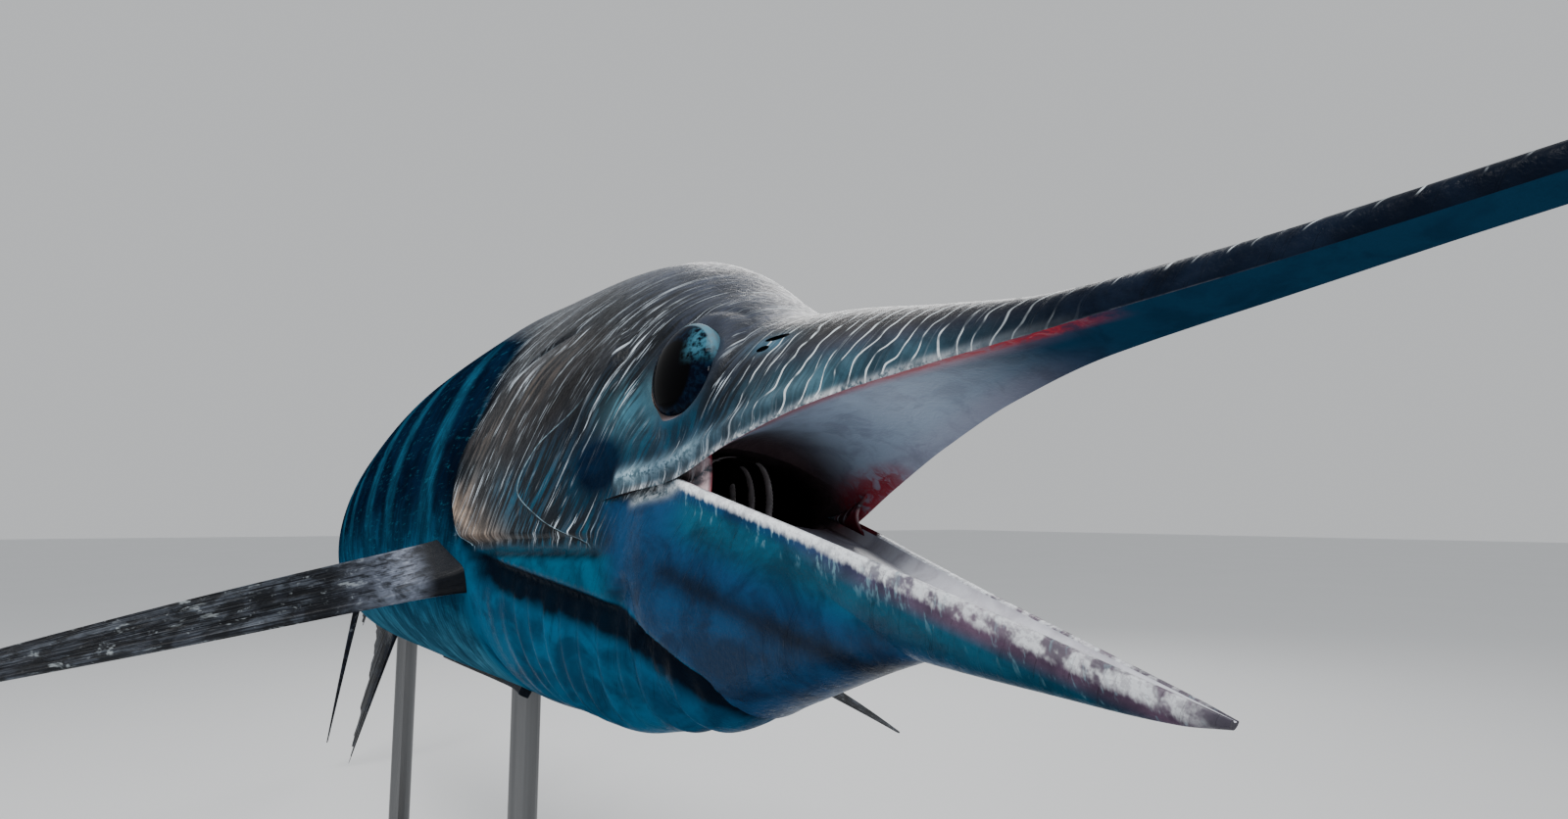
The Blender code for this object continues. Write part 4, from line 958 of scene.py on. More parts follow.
def fin_thickness(u, v, rays, thick):
    """Thickness over a fin: rays stand over the thinner web, and the root swells into the body."""
    root, edge = thick
    full = root + (edge - root) * v
    web = 1 - (1 - WEB_SHARE) * (1 - ray_ridges(u, rays)) * float(ramp(v, *ROOT_SMOOTH))
    rounded = np.sqrt(np.clip(1 - np.abs(2 * u - 1) ** FIN_ROUND, FIN_EDGE, 1))
    return full * web * rounded * (1 + ROOT_SWELL * np.exp(-v / ROOT_SWELL_REACH))


def fin_edge(u, v, rays):
    """Share by which a fin's free edge falls short between two rays."""
    return 1 - EDGE_NOTCH * (1 - ray_ridges(u, rays)) * v**NOTCH_POWER


def row_fin(name, base, shape, thick, sign, rays, rows):
    """A fin whose rays stand in a row along the back or, with sign -1, along the belly."""
    height, lean = columns(shape)
    share = np.linspace(0, 1, rays * POINTS_TO_RAY + 1)
    u = share**RAY_SPREAD
    x = base[0] + (base[1] - base[0]) * u
    root = np.where(x > GILL_EDGE, up_top(x), tr_top(x)) if sign > 0 else tr_bottom(x)
    tilt = np.radians(lean(u))
    middle, thickness = [], []
    for v in np.linspace(0, 1, rows):
        reach = -ROOT_SINK + v * (height(u) + ROOT_SINK) * fin_edge(share, v, rays)
        ripple = FIN_RIPPLE * v * np.sin(u * FIN_RIPPLE_COUNT * 2 * math.pi)
        middle.append(np.stack([x - reach * np.sin(tilt), ripple, root + sign * reach * np.cos(tilt)], 1))
        thickness.append(fin_thickness(share, v, rays, thick))
    return fin_solid(name, middle, thickness)


def arc_fin(name, lead, trail, thick, rays, rows):
    """A fin between two curved edges, each given by root, control and tip, with rays side by side."""
    u = np.linspace(0, 1, rays * POINTS_TO_RAY + 1)
    middle, thickness = [], []
    for v in np.linspace(0, 1, rows):
        weights = ((1 - v) ** 2, 2 * v * (1 - v), v * v)
        front = sum(w * np.array(p) for w, p in zip(weights, lead))
        rear = sum(w * np.array(p) for w, p in zip(weights, trail))
        far = fin_edge(u, float(ramp(v, *ARC_NOTCHES)), rays)
        middle.append(front + (rear - front) * (u * far)[:, None])
        thickness.append(fin_thickness(u, v, rays, thick))
    return fin_solid(name, middle, thickness)


def build_keels():
    """Two low keels on each side of the tail stem, as closed ridges that join the skin."""
    keels = []
    for side in (1, -1):
        for level in (1, -1):
            rings = []
            for x in np.linspace(*KEEL_SPAN, KEEL_PLACES):
                share = (x - KEEL_SPAN[0]) / (KEEL_SPAN[1] - KEEL_SPAN[0])
                swell = abs(math.sin(math.pi * share)) ** KEEL_BLUNT
                half = float(tr_half(x))
                crest = half * KEEL_START + (half * (1 - KEEL_START) + KEEL_RISE) * swell
                across = np.linspace(-1, 1, KEEL_ACROSS)
                y = side * (half * KEEL_ROOT + (crest - half * KEEL_ROOT) * (1 - across**2) ** KEEL_ROUND)
                z = level * KEEL_OFF + (KEEL_END_HALF + KEEL_HALF * swell) * across
                rings.append(np.stack([np.full_like(y, x), y, z], 1))
            keels.append(tube_of_rings("keel_form", rings, [SKIN] * KEEL_ACROSS))
    return keels


def finish_shape(obj, angle=SHARP_ANGLE):
    """Set a shape drawn straight into its pose, with smooth shading, to ride on the model."""
    mesh = obj.data
    straight = coordinates(mesh)
    if "straight" not in mesh.attributes:
        store(mesh, "straight", straight)
    set_coordinates(mesh, to_world(straight))
    mesh.shade_smooth()
    mesh.set_sharp_from_angle(angle=angle)
    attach(obj, "root")
    return obj


def build_eye(name, side):
    """A closed eyeball with a low cornea, kept in its own frame for its paint."""
    profile = [(0, EYE_BULGE)]
    for a in np.linspace(0, math.pi / 2, CORNEA_STEPS + 1)[1:]:
        profile.append((EYE_RADIUS * math.sin(a), EYE_BULGE * math.cos(a)))
    for a in np.linspace(0, math.pi / 2, BOWL_STEPS + 1)[1:-1]:
        profile.append((EYE_RADIUS * math.cos(a), -EYE_DEPTH * math.sin(a)))
    ball = turned(name, profile + [(0, -EYE_DEPTH)], SOCKET_SIDES)
    own = coordinates(ball.data)
    placed = eye_frame(side)
    ball.data.transform(placed)
    straight = coordinates(ball.data)
    store(ball.data, "eye", np.stack([straight[:, 0], straight[:, 2], own[:, 2]], 1))
    return finish_shape(ball)


def gill_arch(name, side, rear, depth):
    """One arch at the side of the throat opening: a tapering curved bar with a row of filaments."""
    rings = []
    turn = np.linspace(0, 2 * math.pi, ARCH_SIDES, endpoint=False)
    for s in np.linspace(0, 1, ARCH_RINGS):
        angle = math.pi * (s - 0.5)
        swell, drop = math.cos(angle), ARCH_REACH * math.sin(angle)
        centre = (rear - ARCH_LEAN * swell, side * (ARCH_INNER + depth * swell), ARCH_MIDDLE - drop)
        comb = 1 + ARCH_COMB * np.cos(turn) * math.sin(s * ARCH_FILAMENTS * 2 * math.pi)
        width = ARCH_WIDTH * (ARCH_TAPER + (1 - ARCH_TAPER) * swell)
        across, out = width * comb * np.cos(turn), side * ARCH_FLATNESS * width * np.sin(turn)
        ring = np.stack([across, out, 0 * turn], 1)
        rings.append(np.array(centre) + ring)
    return tube_of_rings(name, rings, [SKIN] * ARCH_SIDES)


def pectoral_fin(name, side):
    """A long stiff fin that stands out from the side behind the gill opening."""
    lead = [np.array(p) for p in PECTORAL_LEAD[side]]
    lead[0] = lead[0] + PECTORAL_ROOT_REACH * (lead[0] - lead[1])
    back = np.array([-math.cos(PECTORAL_PITCH[side]), 0.0, math.sin(PECTORAL_PITCH[side])])
    trail = [p + chord * back for p, chord in zip(lead, PECTORAL_CHORDS)]
    return arc_fin(name, lead, trail, PECTORAL_THICK, PECTORAL_RAYS, PECTORAL_ROWS)


def pelvic_fin(name, side):
    """A narrow fin that lies folded along the belly."""
    middle, thickness = [], []
    u = np.linspace(0, 1, PELVIC_RAYS * POINTS_TO_RAY + 1)
    for v in np.linspace(0, 1, PELVIC_ROWS):
        x = PELVIC_SPAN[0] + v * (PELVIC_SPAN[1] - PELVIC_SPAN[0])
        inner = PELVIC_SIDE[0] + v * (PELVIC_SIDE[1] - PELVIC_SIDE[0])
        y = inner + PELVIC_CHORD * (1 - PELVIC_TAPER * v) * u
        half, wide, bottom = float(tr_half(x)), float(tr_wide_z(x)), float(tr_bottom(x))
        z = wide - (wide - bottom) * np.sqrt(1 - (y / half) ** 2)
        middle.append(np.stack([np.full_like(y, x), side * y, z], 1))
        thickness.append(fin_thickness(u, v, PELVIC_RAYS, PELVIC_THICK))
    return fin_solid(name, middle, thickness)


def tail_fin(name, sign):
    """The upper lobe of the tail or, with sign -1, the lower one."""
    edges = [[np.array((x, 0.0, sign * z)) for x, _, z in edge] for edge in (TAIL_LEAD, TAIL_TRAIL)]
    return arc_fin(name, *edges, TAIL_THICK, TAIL_RAYS, TAIL_ROWS)


def build_fins():
    """Every fin, with the name of the node that it stands for."""
    for name, settings in ROW_FINS.items():
        yield name, row_fin(name + "_skin", *settings)
    for word, side in SIDES.items():
        yield f"pectoral_fin_{word}", pectoral_fin(f"pectoral_fin_{word}_skin", side)
        yield f"pelvic_fin_{word}", pelvic_fin(f"pelvic_fin_{word}_skin", side)
    for word, sign in (("upper", 1), ("lower", -1)):
        yield f"tail_fin_{word}", tail_fin(f"tail_fin_{word}_skin", sign)


# Colours of the animal, and of the painted shade towards the gullet
SLATE = (0.036, 0.046, 0.074)
BRONZE = (0.009, 0.013, 0.021)
GOLD = (0.090, 0.070, 0.054)
CREAM = (0.420, 0.320, 0.250)
DUSK = (0.046, 0.050, 0.060)
UMBER = (0.026, 0.022, 0.019)
TEAL = (0.006, 0.060, 0.105)
LOW_TEAL = (0.004, 0.036, 0.070)
SNOUT_TEAL = (0.040, 0.110, 0.150)
BRIGHT_TEAL = (0.090, 0.270, 0.350)
STEEL = (0.002, 0.034, 0.095)
STRAP_BLUE = (0.300, 0.450, 0.540)
FLANK_BLUE = (0.008, 0.070, 0.140)
BAR_BLUE = (0.014, 0.085, 0.150)
THROAT_BLUE = (0.004, 0.080, 0.145)
PLEAT_BLUE = (0.005, 0.085, 0.170)
DEEP = (0.001, 0.010, 0.030)
INDIGO = (0.001, 0.008, 0.024)
NAVY = (0.0008, 0.0018, 0.005)
JET = (0.004, 0.005, 0.007)
COAL = (0.007, 0.006, 0.007)
BILL_BLACK = (0.004, 0.008, 0.018)
SILVER = (0.060, 0.190, 0.290)
PALE = (0.420, 0.470, 0.500)
WHITE = (0.780, 0.820, 0.860)
PINK = (0.550, 0.440, 0.460)
MAUVE = (0.330, 0.160, 0.200)
PLUM = (0.105, 0.060, 0.095)
TIP_GREY = (0.100, 0.085, 0.110)
RED = (0.260, 0.018, 0.032)
FOLD_RED = (0.300, 0.040, 0.060)
FAR_RED = (0.090, 0.012, 0.020)
PALATE = (0.285, 0.365, 0.480)
PALATE_FRONT = (0.006, 0.028, 0.058)
WEB_PINK = (0.520, 0.400, 0.430)
TROUGH_REAR = (0.200, 0.205, 0.240)
TROUGH_FRONT = (0.520, 0.530, 0.580)
# Painted shade: the lining darkens in two steps towards the gullet
GULLET_SHADE = ((0.080, 0.055, 0.062), (0.012, 0.008, 0.010))
ORBIT_TONES = ((0.060, 0.042, 0.034), (0.020, 0.016, 0.018))

# Soft patches on the side of the head: middle and reach along the fish, then in height
CHEEK = ((-0.015, 0.075), (-0.055, 0.026))
BEHIND_EYE = ((-0.052, 0.026), (-0.027, 0.022))
BELOW_EYE = ((0.020, 0.060), (-0.054, 0.020))
NAVY_CHEEK = ((-0.076, 0.034), (-0.064, 0.026))
NOSE = ((0.079, 0.018), (0.0080, 0.0070))

# Borders of the markings and of the painted shade, light and reflections: where each starts and is full.
# Runs have four places, as the relief's have
BELOW_LIP = (0.0, 0.004)
JAW_REAR = (-0.085, -0.050)
ON_BACK = (0.075, 0.135)
HEAD_END = (-0.33, -0.30)
HEAD_END_ON_BACK = (-0.46, -0.25)
HEAD_WAVE = (0.012, 60, 25)
CROWN_DEPTH = (-0.075, -0.015)
BILL_START = (0.16, 0.30)
SNOUT_RUN = (0.050, 0.085, 0.22, 0.34)
LINES_START = (0.055, 0.085)
LINES_END = (0.19, 0.30)
BILL_REFLECTION_HEIGHT = (0.50, 0.75)
BILL_REFLECTION_END = (0.42, 0.62)
STRAP_FADE = (0.015, 0.05)
LIP_PAINT = 0.0026
BAND = (-0.0045, 0.0046)
BAND_RUN = (-0.046, -0.034, 0.018, 0.032)
LOW_HEAD = (-0.085, -0.030)
COVER_LEVELS = (-0.124, -0.116, 0.055, 0.072)
COVER_LINE_LEVELS = (-0.126, -0.116, 0.045, 0.060)
COVER_FOOT = (-0.122, -0.115)
DARK_BAND = (0.26, 0.16)
DARK_BAND_LEVEL = (-0.085, -0.045)
LOW_REAR = (0.84, 0.26)
LOW_REAR_LEVELS = (-0.124, -0.118, -0.088, -0.055)
GOLD_BAND = (0.62, 0.32)
SLIT_SHADE_BAND = (-0.001, 0.001, 0.008, 0.030)
FOLD_REAR = (0.24, 0.30)
PLEATS_REAR = (0.30, 0.36)
THROAT_BAND_TOP = -0.127
THROAT_BAND_FRONT = (0.045, 0.085)
COVER_SHADOW = (-0.1290, 0.0034)
JAW_FACE = (0.05, 0.09)
TOWARD_TIP = (0.15, 0.30)
JAW_TIP = (0.395, 0.418)
RIM_START = (0.055, 0.080)
RIM_DEPTH = (0.0024, 0.0040)
JAW_TEAL = (-0.045, -0.020, -0.012, -0.006)
# Painted shade along the jaw's lower edge: its height and half-width
JAW_EDGE_SHADE = (-0.058, 0.008)
CORNER_RUN = (-0.012, 0.000, 0.041, 0.048)
FAR_FOLD_RUN = (-0.014, -0.004, 0.052, 0.062)
FAR_FOLD_LEVELS = (-0.070, -0.055, 0.004, 0.010)
# Reach of the painted shade on the trunk behind the gill cover
COVER_OVERHANG_SHADE = 0.060
BAR_EDGE = (0.62, 0.92)
GLOSS_REAR = (0.24, 0.30)


def blended(base, *layers):
    """Colours of all points: a base with each (mask, colour) laid over it in turn."""
    colour = np.asarray(base, float) * np.ones((len(layers[0][0]), 1))
    for mask, tone in layers:
        share = np.clip(mask, 0, 1)[:, None]
        colour = colour * (1 - share) + np.asarray(tone, float) * share
    return colour


def spot(m, patch):
    """1 in the middle of a soft patch, falling off along the fish and in height."""
    (x, reach), (z, rise) = patch
    return bump(m.x - x, reach) * bump(m.z - z, rise)


def edge_half(x):
    """Half the distance between the two upper lips."""
    drop = np.clip((up_wide_z(x) - up_edge_z(x)) / up_lower(x), -1, 1)
    return up_half(x) * np.sqrt(1 - drop**2)


def measures(mesh):
    """Where each point of the skin lies on the straight fish, and how far it faces outwards."""
    m = SimpleNamespace(straight=coordinates(mesh))
    m.x, m.y, m.z = m.straight.T
    m.side = np.abs(m.y)
    normals = np.empty(len(m.x) * 3, np.float32)
    mesh.vertex_normals.foreach_get("vector", normals)
    m.outward = normals.reshape(-1, 3)[:, 1] * np.sign(m.y)
    edge = up_edge_z(m.x)
    m.over_lip = m.z - edge
    m.within = edge_half(m.x) - m.side
    m.from_eye = np.hypot(m.x, m.z)
    ahead, up = m.x - JAW_HINGE[0], m.z - JAW_HINGE[1]
    m.along_jaw = ahead * math.cos(JAW_OPEN) - up * math.sin(JAW_OPEN)
    m.off_jaw = ahead * math.sin(JAW_OPEN) + up * math.cos(JAW_OPEN)
    top = np.where(m.x >= GILL_EDGE, up_top(m.x), tr_top(m.x))
    bottom = np.where(m.x >= GILL_EDGE, up_wide_z(m.x) - up_lower(m.x), tr_bottom(m.x))
    m.height = np.clip((m.z - bottom) / (top - bottom), 0, 1)
    m.up_share = np.clip(m.over_lip / np.maximum(top - edge, 1e-4), 0, 1)
    m.beyond = cover_rear(m.z) - m.x
    m.plate = np.clip((cover_step(m.z) - m.x) / (cover_step(m.z) - cover_rear(m.z)), -1, 2)
    m.fold = membrane_z(m.x) - m.z
    return m


def mask_head(m):
    """Masks of head, crown, cheek, snout, bill and lip, and of what lies below the lip."""
    m.below = ramp(-m.over_lip, *BELOW_LIP) * ramp(m.x, *JAW_REAR)
    above = 1 - m.below
    m.on_back = ramp(m.z, *ON_BACK)
    reach, along, across = HEAD_WAVE
    wave = reach * np.sin(along * m.z + across * m.side) * m.on_back
    ends = [low + (high - low) * m.on_back for low, high in zip(HEAD_END, HEAD_END_ON_BACK)]
    m.head = ramp(m.x + wave, *ends)
    m.trunk = 1 - m.head
    m.crown = ramp(m.z - up_top(m.x), *CROWN_DEPTH) * m.head * above
    m.cheek, m.below_eye, m.nose = (spot(m, patch) * above for patch in (CHEEK, BELOW_EYE, NOSE))
    m.behind_eye = spot(m, BEHIND_EYE)
    m.navy_cheek = np.minimum(1, 1.5 * spot(m, NAVY_CHEEK))
    m.bill = ramp(m.x, *BILL_START)
    m.snout = run(m.x, SNOUT_RUN) * above
    # Painted reflection: the pale lines run on along the bill's upper edge
    bill_edge_reflection = ramp(m.up_share, *BILL_REFLECTION_HEIGHT) * (1 - ramp(m.x, *BILL_REFLECTION_END))
    m.snout_lines = above * ramp(m.x, *LINES_START) * np.maximum(1 - ramp(m.x, *LINES_END), bill_edge_reflection)
    strap = bump(m.over_lip - STRAP_ABOVE_LIP, STRAP_WIDTH) * run(m.x, STRAP_RUN)
    m.strap = strap * ramp(m.side, 0.03, 0.05) * (1 - 0.8 * ramp(m.x, *STRAP_FADE))
    lip = bump(m.over_lip, LIP_PAINT) * run(m.x, LIP_RUN)
    m.lip = lip * (1 - ramp(-m.over_lip, 0.001, 0.003)) * (1 - m.bill)
    m.band = bump(m.over_lip - BAND[0], BAND[1]) * run(m.x, BAND_RUN) * ramp(m.side, 0.04, 0.06)


def mask_jaw(m):
    """Masks of the lower jaw, its pale rim that is partly a painted highlight, and the folds of skin at
    both corners of the mouth.
    """
    m.jaw_face = m.below * ramp(m.along_jaw, *JAW_FACE)
    m.toward_tip = ramp(m.along_jaw, *TOWARD_TIP)
    m.tip = ramp(m.along_jaw, *JAW_TIP)
    rim = ramp(m.off_jaw, -0.0045 * (1 + m.toward_tip), -0.0020)
    m.rim = rim * m.below * ramp(m.along_jaw, *RIM_START)
    m.rim_depth = m.off_jaw + RIM_DEPTH[0] + RIM_DEPTH[1] * m.toward_tip
    corner = run(m.x, CORNER_RUN) * ramp(0.014 - m.over_lip, 0.0, 0.002) * ramp(m.off_jaw, -0.003, 0.0)
    m.corner = corner * ramp(m.within, 0.0008, 0.0024) * ramp(m.side, 0.045, 0.050)
    m.right = ramp(-m.y, -0.010, 0.010)
    far_fold = run(m.x, FAR_FOLD_RUN) * run(m.over_lip, FAR_FOLD_LEVELS) * (1 - m.right)
    far_fold = far_fold * ramp(-m.outward, -0.85, -0.35) * ramp(m.within, -0.0016, 0.0004)
    m.far_fold = far_fold * ramp(m.side, 0.035, 0.045)
    m.on_rim = m.below * ramp(m.along_jaw, 0.050, 0.070) * (1 - m.tip) * (1 - 0.35 * m.toward_tip)
    m.on_rim = m.on_rim * (1 - m.corner) * (1 - m.far_fold)


def mask_cover(m):
    """Masks of the gill cover, the slit behind it with its painted shade, and the fold and pleats of the
    throat.
    """
    m.cover = ramp(-m.beyond, -0.001, 0.001) * ramp(cover_front(m.z) - m.x, -0.012, 0.006)
    m.cover = m.cover * run(m.z, COVER_LEVELS)
    m.slit = run(m.beyond, SLIT_SHADE_BAND) * run(m.z, SLIT_LEVELS)
    m.dark_cover = m.cover * bump(m.plate - DARK_BAND[0], DARK_BAND[1]) * ramp(m.z, *DARK_BAND_LEVEL)
    m.low_rear = m.cover * bump(m.plate - LOW_REAR[0], LOW_REAR[1]) * run(m.z, LOW_REAR_LEVELS)
    before = 1 - ramp(m.x, *FOLD_FRONT)
    past_edge = ramp(m.fold, -0.002, 0.002)
    # Run of the painted shadow along the membrane's free edge
    m.fold_run = before * (1 - ramp(-m.x, *FOLD_REAR))
    m.pleated = past_edge * before * (1 - ramp(-m.x, *PLEATS_REAR))
    throat_band = ramp(THROAT_BAND_TOP - m.z, 0.0, 0.003) * (1 - past_edge)
    m.throat_band = throat_band * ramp(-m.x, *THROAT_BAND_FRONT)


def skin_colours(m):
    """Base colour of the skin, with painted shade behind and under the gill cover and along the jaw's
    lower edge, before the fine markings of its material.
    """
    gold = m.cover * bump(m.plate - GOLD_BAND[0], GOLD_BAND[1])
    shadow = bump(m.z - COVER_SHADOW[0], COVER_SHADOW[1]) * run(m.x, UNDER_COVER_RUN)
    low_head = m.head * (1 - ramp(m.z, *LOW_HEAD)) * (1 - m.below)
    # Painted shade on the trunk just behind the gill cover's free edge
    behind = m.trunk * bump(m.beyond, COVER_OVERHANG_SHADE) * ramp(m.height, 0.24, 0.42)
    base = blended(
        BRONZE,
        (m.crown, SLATE),
        (low_head * 0.9, TEAL),
        (m.cheek * 0.75, TEAL),
        (m.behind_eye * 0.9, BRIGHT_TEAL),
        (m.navy_cheek, INDIGO),
        (m.below_eye * 0.9, LOW_TEAL),
        (m.snout * (1 - ramp(m.up_share, 0.12, 0.50)) * 0.80, SNOUT_TEAL),
        (m.snout * ramp(m.up_share, 0.34, 0.66) * 0.85, UMBER),
        (m.bill * (1 - m.below), BILL_BLACK),
        (gold * 0.55, GOLD),
        (m.low_rear * 0.95, CREAM),
        (m.dark_cover * 0.95, COAL),
        (m.cover * (1 - ramp(m.z, *COVER_FOOT)), TEAL),
        (m.below, STEEL),
        (m.jaw_face * run(m.off_jaw, JAW_TEAL), TEAL),
        # Painted shade along the jaw's lower edge, where the throat meets it
        (m.jaw_face * bump(m.off_jaw - JAW_EDGE_SHADE[0], JAW_EDGE_SHADE[1]), DEEP),
        (m.strap * 0.95, STRAP_BLUE),
        (m.lip * 0.8, WHITE),
        (m.nose * 0.8, SILVER),
        (m.jaw_face * m.toward_tip * ramp(m.off_jaw, -0.018, -0.010) * 0.9, PLUM),
        (m.band * 0.85, PALE),
        (m.tip * m.below, TIP_GREY),
        (m.corner, PINK),
        (m.corner * ramp(-m.outward, -0.2, 0.3), FOLD_RED),
        (m.far_fold, FAR_RED),
        (m.trunk, DEEP),
        (m.trunk * (1 - ramp(m.height, 0.24, 0.44)), FLANK_BLUE),
        (m.trunk * (1 - ramp(m.height, 0.02, 0.22)), SILVER),
        (behind * 0.85, NAVY),
        (m.pleated * (1 - m.below * 0.3), PLEAT_BLUE),
        (m.throat_band * 0.9, THROAT_BLUE),
        (shadow * 0.8, NAVY),
        # Painted shade: the slit behind the gill cover goes near black
        (m.slit, NAVY),
    )
    bars = 0.5 + 0.5 * np.cos(2 * math.pi * (m.x + BAR_SHIFT + 0.012 * np.cos(23 * m.x)) / BAR_PITCH)
    bars = ramp(bars, *BAR_EDGE) * m.trunk * ramp(m.height, 0.18, 0.42) * (1 - ramp(m.height, 0.75, 0.95))
    return blended(base, (bars * 0.7, BAR_BLUE))


def streak_strength(m):
    """How strongly the pale and dark streaks show at each point; the pale ones are painted caustic light.
    """
    streak = m.head * (1 - m.below) * (1 - m.strap) * (1 - m.bill) * ramp(m.from_eye, 0.040, 0.050)
    streak = streak * (1 - 0.45 * m.crown) * (1 - m.slit) * ramp(m.z, -0.125, -0.119)
    streak = streak + 0.35 * m.trunk * (1 - m.slit)
    weaker = ((m.pleated, 1.0), (m.below_eye, 0.6), (m.navy_cheek, 0.95), (m.snout, 0.6))
    for mask, loss in (*weaker, (m.dark_cover, 0.75), (m.low_rear, 0.35), (m.behind_eye, 0.45)):
        streak = streak * (1 - loss * mask)
    return streak


def skin_gloss(m):
    """How much the wet skin shines at each point."""
    dull = np.maximum(np.maximum(m.pleated, m.throat_band), m.navy_cheek)
    rear = ramp(-m.x, GLOSS_REAR[0], GLOSS_REAR[1] + 0.15 * m.on_back)
    gloss = (1 - rear) * (1 - 0.85 * dull) * (1 - 0.8 * m.bill)
    return (0.10 * gloss * (1 + m.crown) + 0.12 * m.rim) * (1 - m.far_fold)


def lining_colours(m):
    """Base colour of palate, trough of the jaw, orbits and nostrils, with painted shade darkening the
    mouth towards the gullet.
    """
    x, over_lip = m.x, m.over_lip
    orbit = ramp(-m.from_eye, -EYE_RADIUS - 0.03, -EYE_RADIUS - 0.01) * ramp(m.side, 0.045, 0.055)
    orbit = orbit * ramp(m.z, -0.040, -0.030)
    inner = ramp(-m.within, -0.024, -0.004) * run(x, (0.005, 0.030, 0.170, 0.300))
    web = run(x, (-0.014, 0.002, 0.040, 0.054)) * ramp(m.side, 0.046, 0.058)
    web = web * run(over_lip, (-0.050, -0.040, -0.001, 0.005))
    in_jaw = 1 - ramp(m.off_jaw, -0.004, 0.012)
    return blended(
        PALATE,
        (ramp(x, 0.11, 0.27), PALATE_FRONT),
        (inner * (0.15 + 0.70 * m.right), MAUVE),
        (in_jaw * ramp(m.along_jaw, 0.02, 0.05), TROUGH_REAR),
        (in_jaw * ramp(m.along_jaw, 0.10, 0.20), TROUGH_FRONT),
        # Painted shade, darker deeper into the mouth
        (ramp(-x, -0.050, 0.010), GULLET_SHADE[0]),
        (ramp(-x, -0.004, 0.050), GULLET_SHADE[1]),
        (web * 0.85 * m.right, WEB_PINK),
        (ramp(over_lip, 0.030, 0.040) * ramp(x, 0.05, 0.07), NAVY),
        (orbit, ORBIT_TONES[0]),
        (orbit * ramp(-m.z, 0.0, 0.02), ORBIT_TONES[1]),
    )


def blood_strength(m):
    """Reddened tissue: a line inside the right upper lip, and a patch at the mouth's left corner."""
    lip_red = run(m.x, (0.010, 0.060, 0.270, 0.320)) * (0.45 + 0.55 * ramp(m.x, 0.12, 0.19))
    lip_red = lip_red * (1 - ramp(m.over_lip, 0.008, 0.014)) * ramp(-m.within, -0.0125, -0.0035) * m.right
    patch = run(m.x, (-0.010, 0.010, 0.055, 0.095)) * ramp(m.y - edge_half(m.x), -0.030, -0.008)
    patch = patch * ramp(m.over_lip, -0.004, 0.0) * (1 - ramp(m.z, -0.050, -0.042))
    return np.maximum(lip_red, patch)


def paint_skin(mesh):
    """Keep colours, markings and gloss of each point of the skin for its two materials."""
    m = measures(mesh)
    mask_head(m)
    mask_jaw(m)
    mask_cover(m)
    levels = run(m.z, COVER_LINE_LEVELS)
    on_cover = levels * (m.head + ramp(-m.beyond, -0.004, 0.0))
    flow = m.x - FLOW_LEAN * m.z - FLOW_SWEEP * ramp(m.z, 0.03, 0.16) * (m.z - 0.03)
    kept = {
        "straight": m.straight,
        "flow": np.stack([flow, m.z, m.side], 1),
        "tint": skin_colours(m),
        "streak": streak_strength(m),
        "trunk": m.trunk,
        "snout": m.snout_lines,
        "white_rim": np.maximum(m.lip, np.maximum(m.strap, m.band)) * (1 - m.far_fold),
        "folds": np.stack([m.fold, m.fold_run, m.rim_depth], 1),
        "on_rim": m.on_rim,
        "gloss": skin_gloss(m),
        "cover_edges": np.stack([-m.beyond, m.x - cover_step(m.z), on_cover], 1),
        "lining": lining_colours(m),
        "wet": 0.22 * (1 - ramp(m.x, 0.10, 0.26)) * (1 - m.far_fold),
        "blood": blood_strength(m),
    }
    for name, values in kept.items():
        store(mesh, name, values)


